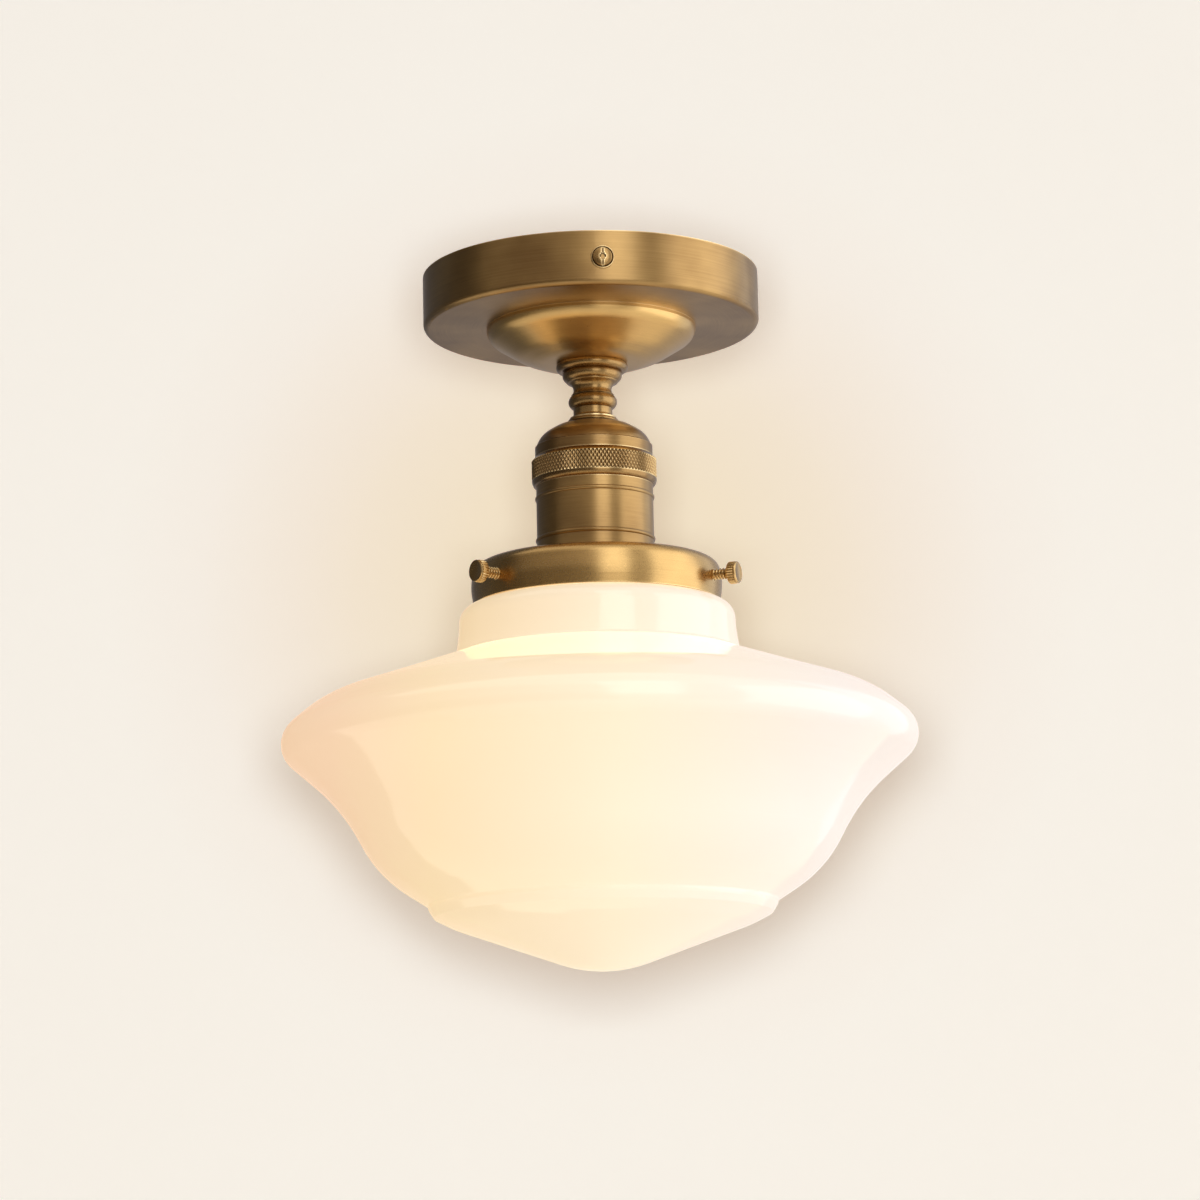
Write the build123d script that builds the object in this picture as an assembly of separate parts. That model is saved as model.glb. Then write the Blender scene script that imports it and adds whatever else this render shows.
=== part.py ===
"""Semi flush ceiling light: brass canopy, turned spindle, lampholder and opal glass shade.

Millimetres. The Z axis is the lamp's axis, and z = 0 is the ceiling. Everything hangs below it.
The front of the light, where one of the two canopy screws shows, faces -Y.
"""

import os
from math import cos, radians, sin, tan

from build123d import *

# ---------------------------------------------------------------- canopy and ceiling bracket
canopy_radius = 60.0
canopy_height = 19.0
canopy_wall = 1.0
canopy_edge_radius = 2.0
side_screw_level = -9.5

bracket_thickness = 1.5
bracket_width = 22.0
bracket_tab_width = 16.0
bracket_tab_drop = 15.0
bracket_to_canopy = 0.4
slot_spacing = 79.0
slot_length = 20.0
slot_width = 4.6

# ---------------------------------------------------------------- screws
m4_radius = 2.0
m4_head_radius = 4.1
m4_head_height = 2.6
m3_radius = 1.5
m3_head_radius = 2.7
m3_head_height = 1.8
side_screw_length = 8.0
earth_screw_y = -19.0
screw_clearance = 0.05

# ---------------------------------------------------------------- dome cup and check ring
dome_radius = 37.4
dome_rounds = (6.0, 16.1, 15.6)
dome_depth = 13.3
dome_rim_height = 1.2
dome_floor_radius = 11.0
dome_wall = 0.8
check_ring_radius = 12.8
check_ring_height = 2.7

# ---------------------------------------------------------------- turned spindle
spindle_top_radius = 10.1
upper_bead_radius = 10.6
upper_bead_height = 3.9
upper_ridge_radius = 9.2
cove_radius = 6.85
cove_height = 4.7
lower_ridge_radius = 7.6
lower_bead_radius = 8.65
lower_bead_height = 5.1
stem_radius = 6.95
stem_height = 2.0
foot_radius = 8.3
foot_height = 1.8
ridge_height = 0.5

# ---------------------------------------------------------------- nipple, nuts and washer
nipple_radius = 5.0
nipple_bore_radius = 4.0
nipple_above_nut = 1.2
nut_across_flats = 14.0
nut_height = 3.0
lock_washer_radius = 7.6
lock_washer_thickness = 0.8
nipple_clearance = 0.2
thread_clearance = 0.05

# ---------------------------------------------------------------- lampholder outside
cap_collar_radius = 8.9
cap_collar_height = 1.5
cap_rounds = (9.1, 9.0)
cap_dome_step = 0.5
cap_dome_height = 9.8
cap_band_step = 0.15
cap_band_height = 4.1
cap_wall = 1.3
sleeve_step = 0.65
sleeve_length = 4.5
knurled_ring_step = 1.5
knurled_ring_height = 10.5
knurled_ring_chamfer = 1.5
knurled_ring_round = 2.4
knurl_columns = 100
knurl_rows = 6
knurl_depth = 0.34
shell_radius = 20.75
shell_length = 27.9
shell_wall = 1.0
shell_bead_step = 0.45
shell_bead_height = 1.5
shell_bead_drops = (4.4, 19.5)
shell_neck_step = 1.75
shell_neck_length = 10.0
shell_neck_wall = 1.1

# ---------------------------------------------------------------- lampholder inside
insert_clearance = 0.5
insert_flange_gap = 0.1
insert_above_flange = 2.5
insert_floor_thickness = 10.0
insert_length = 29.5
lamp_bore_radius = 14.6
contact_shell_clearance = 0.2
contact_shell_wall = 0.5
contact_shell_length = 23.0
contact_shell_lip = 0.8
centre_contact_radius = 3.0
centre_contact_height = 2.5
lead_hole_depth = 3.5
lead_hole_offset = 6.5
holder_screw_offset = 11.5
holder_screw_length = 6.0

# ---------------------------------------------------------------- gallery and shade ring
gallery_radius = 44.35
gallery_top_radius = 43.1
gallery_rim_radius = 43.5
gallery_height = 14.8
gallery_round = 4.6
gallery_barrel_round = 20.0
gallery_wall = 1.2
shade_ring_radius = 24.0
shade_ring_height = 6.0
shade_ring_notches = 8
shade_ring_notch_radius = 1.8

# ---------------------------------------------------------------- thumbscrews
thumbscrew_count = 3
thumbscrew_turn = -56.0
thumbscrew_above_rim = 6.7
thumbscrew_tip_chamfer = 0.8
thumbscrew_shank_shown = 5.6
thumbscrew_head_radius = 3.9
thumbscrew_head_length = 3.6
thumbscrew_teeth = 28
thumbscrew_tooth_depth = 0.25
thumbscrew_head_chamfer = 0.4
tip_gap = 0.3

# ---------------------------------------------------------------- glass shade
glass_wall = 3.0
groove_radius = 39.3
lip_radius = 40.6
lip_above_screws = 6.3
lip_flare_height = 4.6
lip_round = 0.7
shade_neck_radius = 49.0
shade_neck_foot_radius = 50.3
shade_neck_height = 18.4
shade_radius = 111.5
shade_widest_drop = 48.2
shade_rim_round = 8.3
fold_radius = 61.0
fold_drop = 105.7
step_roll_height = 4.2
step_radius = 59.0
bowl_depth = 19.2
bowl_slope = 19.75
bowl_tip_round = 47.0

# ---------------------------------------------------------------- lamp
lamp_length = 105.0
lamp_contact_gap = 0.3
lamp_contact_radius = 4.6
lamp_contact_height = 1.2
lamp_insulator_radius = 11.5
lamp_insulator_height = 3.6
lamp_cap_radius = 13.1
lamp_cap_length = 22.0
lamp_cap_wall = 0.5
lamp_neck_gap = 0.2
lamp_neck_inside_cap = 8.0
lamp_neck_radius = 14.4
lamp_neck_rounds = (12.9, 18.7)
lamp_globe_radius = 30.0
lamp_glass_wall = 0.8

# ---------------------------------------------------------------- wiring
block_width = 26.0
block_depth = 17.5
block_height = 12.0
block_front_y = 9.3
pole_pitch = 8.0
pole_bore_radius = 1.6
pole_screw_radius = 1.8
pole_screw_height = 4.0
pole_level = -7.5
lead_radius = 1.1
lead_offset_in_nipple = 1.6
lead_hole_clearance = 0.2

# ---------------------------------------------------------------- levels, from the ceiling down
canopy_bottom = -canopy_height
dome_bottom = canopy_bottom - dome_depth
check_ring_bottom = dome_bottom - check_ring_height
spindle_length = upper_bead_height + cove_height + lower_bead_height + stem_height + foot_height
cap_top = check_ring_bottom - spindle_length
cap_band_top = cap_top - cap_dome_height
knurled_ring_top = cap_band_top - cap_band_height
knurled_ring_bottom = knurled_ring_top - knurled_ring_height
gallery_top = knurled_ring_bottom - shell_length
gallery_rim = gallery_top - gallery_height
thumbscrew_level = gallery_rim + thumbscrew_above_rim

cap_seat = cap_top - cap_collar_height - cap_wall
nipple_top = canopy_bottom + canopy_wall + lock_washer_thickness + nut_height + nipple_above_nut
nipple_bottom = cap_seat - nut_height - nipple_above_nut
flange_bottom = knurled_ring_bottom + sleeve_length
flange_top = knurled_ring_top - sleeve_length - insert_flange_gap
insert_top = flange_top + insert_above_flange
insert_floor = insert_top - insert_floor_thickness
insert_bottom = insert_top - insert_length
lamp_top = insert_floor - centre_contact_height - lamp_contact_gap
bracket_underside = -bracket_thickness
nipple_hole_radius = nipple_radius + nipple_clearance
canopy_inside = canopy_radius - canopy_wall

# ---------------------------------------------------------------- what follows the lampholder's shell
sleeve_radius = shell_radius - sleeve_step
cap_band_radius = shell_radius + cap_band_step
cap_dome_radius = cap_band_radius - cap_dome_step
knurled_ring_radius = shell_radius + knurled_ring_step
shell_bead_radius = shell_radius + shell_bead_step
shell_neck_radius = shell_radius - shell_neck_step
insert_radius = sleeve_radius - shell_wall - insert_clearance


# ---------------------------------------------------------------- helpers
def at(radius, level):
    """Point of an outline, at a radius from the lamp's axis and a level on it."""
    return (radius, 0, level)


def turned(*lines):
    """Solid turned about the lamp's axis from lines that close an outline."""
    edges = [edge for line in lines for edge in line.edges()]
    return revolve(make_face(edges), Axis.Z)


def run(*points):
    """Straight runs through points of an outline, each a radius and a level."""
    return Polyline(*[at(*point) for point in points])


def arc(start, through, end):
    """Arc through three points of an outline."""
    return ThreePointArc(at(*start), at(*through), at(*end))


def rounded(corners, rounds):
    """Straight runs between corners of an outline, with each inner corner rounded to its radius."""
    return FilletPolyline(*[at(*corner) for corner in corners], radius=rounds)


def tube(outer_radius, inner_radius, top, bottom):
    """Plain ring or tube on the lamp's axis."""
    if inner_radius <= 0:
        return Pos(0, 0, bottom) * extrude(Circle(outer_radius), top - bottom)
    return Pos(0, 0, bottom) * extrude(Circle(outer_radius) - Circle(inner_radius), top - bottom)


def rod(radius, start, direction, length):
    """Cylinder that starts at a point and runs along a direction."""
    return Plane(origin=start, z_dir=direction) * extrude(Circle(radius), length)


def inset(corners, rounds, wall):
    """Corners and rounds of an outline that runs down the outside, both moved inwards by a wall."""
    runs = [
        Vector(end[0] - start[0], end[1] - start[1]).normalized()
        for start, end in zip(corners, corners[1:])
    ]
    moved = []
    for place, (radius, level) in enumerate(corners):
        before, after = runs[max(place - 1, 0)], runs[min(place, len(runs) - 1)]
        miter = wall / (1 + before.dot(after))
        moved.append((radius + (before.Y + after.Y) * miter, level - (before.X + after.X) * miter))
    inner_rounds = []
    for before, after, round_radius in zip(runs, runs[1:], rounds):
        bulges = before.X * after.Y < before.Y * after.X
        inner_rounds.append(max(round_radius - wall, wall / 5) if bulges else round_radius + wall)
    return moved, inner_rounds


def pan_head_screw(point, direction, thread_radius, length, head_radius, head_height):
    """Screw whose head sits at a point, with its shank along a direction."""
    outward = -Vector(*direction)
    head = rod(head_radius, point, outward, head_height)
    crown = head.edges().filter_by(GeomType.CIRCLE).sort_by(
        lambda edge: (edge.arc_center - Vector(*point)).dot(outward)
    )[-1]
    head = fillet(crown, head_height * 0.55)
    return head + rod(thread_radius, point, direction, length)


# ---------------------------------------------------------------- ceiling side
def mounting_bracket():
    """Steel strap on the ceiling, with two slots and two tabs that take the side screws."""
    reach = canopy_inside - bracket_to_canopy
    tab_face = (reach**2 - (bracket_tab_width / 2) ** 2) ** 0.5 - bracket_to_canopy
    strap = Pos(0, 0, bracket_underside / 2) * Box(bracket_width, 2 * tab_face, bracket_thickness)
    strap &= tube(reach, 0, 0, bracket_underside)
    for side in (-1, 1):
        tab_centre = side * (tab_face - bracket_thickness / 2)
        tab = Pos(0, tab_centre, -bracket_tab_drop / 2) * Box(
            bracket_tab_width, bracket_thickness, bracket_tab_drop
        )
        strap += tab
        slot = Pos(0, side * slot_spacing / 2, 0) * SlotOverall(slot_length, slot_width, rotation=90)
        strap -= Pos(0, 0, -bracket_thickness) * extrude(slot, bracket_thickness)
    strap -= rod(
        m4_radius + screw_clearance, (0, -canopy_radius, side_screw_level), (0, 1, 0), 2 * canopy_radius
    )
    strap -= rod(m4_radius + screw_clearance, (0, earth_screw_y, 0), (0, 0, -1), bracket_thickness)
    block_y = block_front_y + block_depth / 2
    strap -= rod(m3_radius + screw_clearance, (0, block_y, 0), (0, 0, -1), bracket_thickness)
    return strap


def canopy():
    """Spun cover: straight wall, rounded edge and flat face, open to the ceiling."""
    edge = canopy_edge_radius
    bevel = edge * (1 - cos(radians(45)))
    inner_edge = edge - canopy_wall
    inner_bevel = inner_edge * (1 - cos(radians(45)))
    floor = canopy_bottom + canopy_wall
    shell = turned(
        run((nipple_hole_radius, floor), (nipple_hole_radius, canopy_bottom)),
        run((nipple_hole_radius, canopy_bottom), (canopy_radius - edge, canopy_bottom)),
        arc(
            (canopy_radius - edge, canopy_bottom),
            (canopy_radius - bevel, canopy_bottom + bevel),
            (canopy_radius, canopy_bottom + edge),
        ),
        run((canopy_radius, canopy_bottom + edge), (canopy_radius, 0), (canopy_inside, 0)),
        run((canopy_inside, 0), (canopy_inside, floor + inner_edge)),
        arc(
            (canopy_inside, floor + inner_edge),
            (canopy_inside - inner_bevel, floor + inner_bevel),
            (canopy_inside - inner_edge, floor),
        ),
        run((canopy_inside - inner_edge, floor), (nipple_hole_radius, floor)),
    )
    hole_radius = m4_radius + screw_clearance
    return shell - rod(
        hole_radius, (0, -canopy_radius - 1, side_screw_level), (0, 1, 0), 2 * canopy_radius + 2
    )


def canopy_side_screws():
    """Two pan head screws that hold the canopy to the bracket's tabs."""
    screws = []
    for side in (-1, 1):
        screws.append(
            pan_head_screw(
                (0, side * canopy_radius, side_screw_level),
                (0, -side, 0),
                m4_radius,
                side_screw_length,
                m4_head_radius,
                m4_head_height,
            )
        )
    return screws


def dome_cup():
    """Spun bowl under the canopy, with a short straight rim and a flat floor."""
    rim_bottom = canopy_bottom - dome_rim_height
    fall = dome_bottom - rim_bottom
    spread = dome_radius - dome_floor_radius
    outer = [
        (dome_radius, rim_bottom),
        (dome_radius - 0.03 * spread, rim_bottom + 0.22 * fall),
        (dome_radius - 0.43 * spread, rim_bottom + 0.76 * fall),
        (dome_radius - 0.69 * spread, rim_bottom + 0.96 * fall),
        (dome_floor_radius, dome_bottom),
    ]
    inner, inner_rounds = inset(outer, dome_rounds, dome_wall)
    inner[0] = (dome_radius - dome_wall, rim_bottom)
    inner[-1] = (dome_floor_radius, dome_bottom + dome_wall)
    return turned(
        run((nipple_hole_radius, dome_bottom + dome_wall), (nipple_hole_radius, dome_bottom)),
        run((nipple_hole_radius, dome_bottom), outer[-1]),
        rounded(outer, dome_rounds),
        run(outer[0], (dome_radius, canopy_bottom), (dome_radius - dome_wall, canopy_bottom)),
        run((dome_radius - dome_wall, canopy_bottom), inner[0]),
        rounded(inner, inner_rounds),
        run(inner[-1], (nipple_hole_radius, dome_bottom + dome_wall)),
    )


def check_ring():
    """Thin disc between the dome cup and the spindle, with a rounded edge."""
    widest = dome_bottom - 0.3 * check_ring_height
    return turned(
        run((nipple_hole_radius, check_ring_bottom), (nipple_hole_radius, dome_bottom)),
        run((nipple_hole_radius, dome_bottom), (check_ring_radius - 0.4, dome_bottom)),
        arc(
            (check_ring_radius - 0.4, dome_bottom),
            (check_ring_radius, widest),
            (spindle_top_radius + 0.2, check_ring_bottom),
        ),
        run((spindle_top_radius + 0.2, check_ring_bottom), (nipple_hole_radius, check_ring_bottom)),
    )


def spindle():
    """Turned neck: two beads with a cove between them, a short stem and a flared foot."""
    top = check_ring_bottom
    ridge = top - upper_bead_height
    cove_end = ridge - cove_height
    bead_end = cove_end - lower_bead_height
    foot_top = bead_end - stem_height
    half_ridge = ridge_height / 2
    cove_in = upper_ridge_radius - half_ridge
    cove_out = lower_ridge_radius - half_ridge
    return turned(
        run((nipple_hole_radius, cap_top), (nipple_hole_radius, top), (spindle_top_radius, top)),
        arc(
            (spindle_top_radius, top),
            (upper_bead_radius, top - 0.4 * upper_bead_height),
            (upper_ridge_radius, ridge + half_ridge),
        ),
        run((upper_ridge_radius, ridge + half_ridge), (upper_ridge_radius, ridge)),
        run((upper_ridge_radius, ridge), (cove_in, ridge - half_ridge)),
        arc(
            (cove_in, ridge - half_ridge),
            (cove_radius, (ridge + cove_end) / 2),
            (cove_out, cove_end + half_ridge),
        ),
        run((cove_out, cove_end + half_ridge), (lower_ridge_radius, cove_end)),
        run((lower_ridge_radius, cove_end), (cove_out, cove_end - half_ridge)),
        arc(
            (cove_out, cove_end - half_ridge),
            (lower_bead_radius, cove_end - 0.55 * lower_bead_height),
            (stem_radius, bead_end),
        ),
        run((stem_radius, bead_end), (stem_radius, foot_top)),
        arc(
            (stem_radius, foot_top),
            (stem_radius + 0.35 * (foot_radius - stem_radius), foot_top - 0.6 * foot_height),
            (foot_radius, cap_top + ridge_height),
        ),
        run((foot_radius, cap_top + ridge_height), (foot_radius, cap_top)),
        run((foot_radius, cap_top), (nipple_hole_radius, cap_top)),
    )


def nipple():
    """Threaded tube that draws canopy, dome, spindle and lampholder together."""
    return tube(nipple_radius, nipple_bore_radius, nipple_top, nipple_bottom)


def hex_nut(top):
    """Hexagon nut on the nipple, from its top down."""
    outline = RegularPolygon(nut_across_flats / 2, 6, major_radius=False)
    blank = Pos(0, 0, top - nut_height) * extrude(outline, nut_height)
    return blank - tube(nipple_radius + thread_clearance, 0, top, top - nut_height)


def nipple_nuts():
    """One nut inside the canopy and one inside the lampholder's cap."""
    upper_nut_top = canopy_bottom + canopy_wall + lock_washer_thickness + nut_height
    return [hex_nut(upper_nut_top), hex_nut(cap_seat)]


def lock_washer():
    """Washer between the canopy's floor and its nut."""
    floor = canopy_bottom + canopy_wall
    return tube(lock_washer_radius, nipple_radius + nipple_clearance, floor + lock_washer_thickness, floor)


# ---------------------------------------------------------------- lampholder
def socket_cap():
    """Bell cap: a collar under the spindle, a domed shoulder, a band and a threaded sleeve."""
    collar_end = cap_top - cap_collar_height
    collar_foot = cap_collar_radius + 0.3
    spread = cap_dome_radius - collar_foot
    fall = cap_band_top - collar_end
    inside = sleeve_radius - cap_wall
    sleeve_end = knurled_ring_top - sleeve_length
    bell = [
        (collar_foot, collar_end),
        (collar_foot + 0.35 * spread, collar_end + 0.14 * fall),
        (collar_foot + 0.90 * spread, collar_end + 0.57 * fall),
        (cap_dome_radius, cap_band_top),
    ]
    hollow = [
        (collar_foot, cap_seat),
        (collar_foot + 0.40 * (inside - collar_foot), cap_seat + 0.05 * (cap_band_top - cap_seat)),
        (inside - 0.05 * (inside - collar_foot), cap_seat + 0.50 * (cap_band_top - cap_seat)),
        (inside, cap_band_top),
    ]
    return turned(
        run((nipple_hole_radius, cap_seat), (nipple_hole_radius, cap_top), (foot_radius, cap_top)),
        arc(
            (foot_radius, cap_top),
            (cap_collar_radius + 0.1, cap_top - 0.45 * cap_collar_height),
            (cap_collar_radius - 0.1, collar_end),
        ),
        run((cap_collar_radius - 0.1, collar_end), (collar_foot, collar_end)),
        rounded(bell, cap_rounds),
        run((cap_dome_radius, cap_band_top), (cap_band_radius, cap_band_top - 0.4)),
        run((cap_band_radius, cap_band_top - 0.4), (cap_band_radius, knurled_ring_top)),
        run((cap_band_radius, knurled_ring_top), (sleeve_radius, knurled_ring_top)),
        run((sleeve_radius, knurled_ring_top), (sleeve_radius, sleeve_end), (inside, sleeve_end)),
        run((inside, sleeve_end), (inside, cap_band_top)),
        rounded(hollow, [4.0, 4.0]),
        run((collar_foot, cap_seat), (nipple_hole_radius, cap_seat)),
    )


def knurl_band(top, bottom):
    """Band of staggered pyramids, a diamond knurl, with flat ends and no bore."""
    pitch = radians(360 / knurl_columns)
    row_height = (top - bottom) / knurl_rows
    valley_radius = knurled_ring_radius - knurl_depth

    def corner(column, row):
        """Corner of the pattern, by half columns and rows: peaks and valleys take turns."""
        radius = valley_radius if (column + row) % 2 else knurled_ring_radius
        turn = column * pitch / 2
        return (radius * cos(turn), radius * sin(turn), top - row * row_height)

    half_columns = 2 * knurl_columns
    sides = []
    for row in range(knurl_rows):
        for column in range(half_columns):
            left, right = corner(column, row), corner(column + 1, row)
            left_below, right_below = corner(column, row + 1), corner(column + 1, row + 1)
            valleys_fall_right = (column + row) % 2
            if valleys_fall_right:
                sides += [(left, right, right_below), (left, right_below, left_below)]
            else:
                sides += [(left, right, left_below), (right, right_below, left_below)]
    faces = [Face(Wire.make_polygon(side)) for side in sides]
    for row in (0, knurl_rows):
        faces.append(Face(Wire.make_polygon([corner(column, row) for column in range(half_columns)])))
    return Solid(Shell(faces))


def knurled_ring():
    """Ring that clamps the cap's sleeve and the shell's sleeve end to end, with a diamond knurl."""
    bore = sleeve_radius + thread_clearance
    top, bottom = knurled_ring_top, knurled_ring_bottom
    chamfer_foot = top - knurled_ring_chamfer
    round_top = bottom + knurled_ring_round
    chamfered_end = turned(
        run((bore, chamfer_foot), (bore, top), (cap_band_radius, top)),
        run((cap_band_radius, top), (knurled_ring_radius, chamfer_foot), (bore, chamfer_foot)),
    )
    rounded_end = turned(
        run((bore, bottom), (bore, round_top), (knurled_ring_radius, round_top)),
        arc(
            (knurled_ring_radius, round_top),
            (knurled_ring_radius - 0.35, bottom + 0.45 * knurled_ring_round),
            (shell_radius + 0.1, bottom),
        ),
        run((shell_radius + 0.1, bottom), (bore, bottom)),
    )
    knurl = knurl_band(chamfer_foot, round_top) - tube(bore, 0, chamfer_foot, round_top)
    return chamfered_end + knurl + rounded_end


def shell_bead(drop):
    """Outline of one fine bead on the shell, at a drop below the knurled ring."""
    middle = knurled_ring_bottom - drop
    half = shell_bead_height / 2
    return arc((shell_radius, middle + half), (shell_bead_radius, middle), (shell_radius, middle - half))


def socket_shell():
    """Lampholder's outer tube, with two fine beads and a threaded neck for the shade ring."""
    half = shell_bead_height / 2
    upper, lower = [knurled_ring_bottom - drop for drop in shell_bead_drops]
    sleeve_top = flange_bottom
    sleeve_inside = sleeve_radius - shell_wall
    inside = shell_radius - shell_wall
    neck_end = gallery_top - shell_neck_length
    neck_inside = shell_neck_radius - shell_neck_wall
    return turned(
        run((sleeve_inside, sleeve_top), (sleeve_radius, sleeve_top), (sleeve_radius, knurled_ring_bottom)),
        run((sleeve_radius, knurled_ring_bottom), (shell_radius, knurled_ring_bottom)),
        run((shell_radius, knurled_ring_bottom), (shell_radius, upper + half)),
        shell_bead(shell_bead_drops[0]),
        run((shell_radius, upper - half), (shell_radius, lower + half)),
        shell_bead(shell_bead_drops[1]),
        run((shell_radius, lower - half), (shell_radius, gallery_top), (shell_neck_radius, gallery_top)),
        run((shell_neck_radius, gallery_top), (shell_neck_radius, neck_end), (neck_inside, neck_end)),
        run((neck_inside, neck_end), (neck_inside, gallery_top + shell_wall)),
        run((neck_inside, gallery_top + shell_wall), (inside, gallery_top + shell_wall)),
        run((inside, gallery_top + shell_wall), (inside, knurled_ring_bottom - shell_wall)),
        run((inside, knurled_ring_bottom - shell_wall), (sleeve_inside, knurled_ring_bottom - shell_wall)),
        run((sleeve_inside, knurled_ring_bottom - shell_wall), (sleeve_inside, sleeve_top)),
    )


def lampholder_insert():
    """Porcelain body, clamped by its flange between the two sleeves."""
    body = tube(insert_radius, 0, insert_top, insert_bottom)
    body += tube(sleeve_radius, 0, flange_top, flange_bottom)
    body -= tube(lamp_bore_radius, 0, insert_floor, insert_bottom)
    down = (0, 0, -1)
    for side in (-1, 1):
        lead_hole = (side * lead_hole_offset, 0, insert_top)
        screw_hole = (side * holder_screw_offset, 0, insert_top)
        body -= rod(lead_radius + lead_hole_clearance, lead_hole, down, lead_hole_depth)
        body -= rod(m3_radius + screw_clearance, screw_hole, down, holder_screw_length)
    return body


def lamp_contact_shell():
    """Metal sleeve inside the insert, which the lamp's cap screws into."""
    outer = lamp_bore_radius - contact_shell_clearance
    top = insert_floor
    sleeve = tube(outer, outer - contact_shell_wall, top, top - contact_shell_length)
    lip = tube(outer, outer - 3 * contact_shell_wall, top, top - contact_shell_lip)
    return sleeve + lip


def centre_contact():
    """Sprung button at the insert's floor."""
    return tube(centre_contact_radius, 0, insert_floor, insert_floor - centre_contact_height)


def lampholder_screws():
    """Two terminal screws on top of the insert."""
    screws = []
    for side in (-1, 1):
        point = (side * holder_screw_offset, 0, insert_top)
        screws.append(
            pan_head_screw(
                point,
                (0, 0, -1),
                m3_radius,
                holder_screw_length - 0.5,
                m3_head_radius,
                m3_head_height,
            )
        )
    return screws


# ---------------------------------------------------------------- gallery
def gallery():
    """Shade holder: flat top, rounded shoulder and barrelled wall with three screw holes."""
    wall = gallery_wall
    hole = shell_neck_radius + thread_clearance
    rounds = (gallery_round, gallery_barrel_round)
    outer = [
        (hole, gallery_top),
        (gallery_top_radius, gallery_top),
        (gallery_radius + 0.26, thumbscrew_level),
        (gallery_rim_radius, gallery_rim),
    ]
    inner, inner_rounds = inset(outer, rounds, wall)
    inner[-1] = (gallery_rim_radius - wall, gallery_rim)
    cup = turned(
        run(inner[0], outer[0]),
        rounded(outer, rounds),
        run(outer[-1], inner[-1]),
        rounded(inner, inner_rounds),
    )
    for direction in thumbscrew_directions():
        start = direction * (gallery_radius - 3 * wall) + Vector(0, 0, thumbscrew_level)
        cup -= rod(m4_radius + screw_clearance, start, direction, 6 * wall)
    return cup


def shade_ring():
    """Threaded ring under the gallery's top, notched for a spanner."""
    top = gallery_top - gallery_wall
    bottom = top - shade_ring_height
    ring = tube(shade_ring_radius, shell_neck_radius + thread_clearance, top, bottom)
    for notch in PolarLocations(shade_ring_radius, shade_ring_notches):
        ring -= notch * Pos(0, 0, bottom) * extrude(Circle(shade_ring_notch_radius), shade_ring_height)
    return ring


def thumbscrew_directions():
    """Outward direction of each thumbscrew, turned from the front of the light."""
    turns = [thumbscrew_turn + 360 / thumbscrew_count * number for number in range(thumbscrew_count)]
    return [Vector(sin(radians(turn)), -cos(radians(turn)), 0) for turn in turns]


def thumbscrew(direction):
    """Screw with a chamfered tip in the glass's groove and a straight-knurled head."""
    tip = groove_radius + tip_gap
    head_start = gallery_radius + thumbscrew_shank_shown
    level = Vector(0, 0, thumbscrew_level)
    chamfer_length = thumbscrew_tip_chamfer
    across = Plane(origin=direction * tip + level, z_dir=direction)
    nose = across * loft(
        [Circle(m4_radius - chamfer_length), Pos(0, 0, chamfer_length) * Circle(m4_radius)]
    )
    shank_length = head_start - tip - chamfer_length
    shank = rod(m4_radius, direction * (tip + chamfer_length) + level, direction, shank_length)
    outline = []
    for number in range(2 * thumbscrew_teeth):
        turn = radians(180 / thumbscrew_teeth * number)
        reach = thumbscrew_head_radius - thumbscrew_tooth_depth * (number % 2)
        outline.append((reach * cos(turn), reach * sin(turn)))
    grip = extrude(Polygon(*outline), thumbscrew_head_length)
    turned_blank = extrude(Circle(thumbscrew_head_radius), thumbscrew_head_length)
    turned_blank = chamfer(turned_blank.edges().filter_by(GeomType.CIRCLE), thumbscrew_head_chamfer)
    head = Plane(origin=direction * head_start + level, z_dir=direction) * (grip & turned_blank)
    return nose + shank + head


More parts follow.
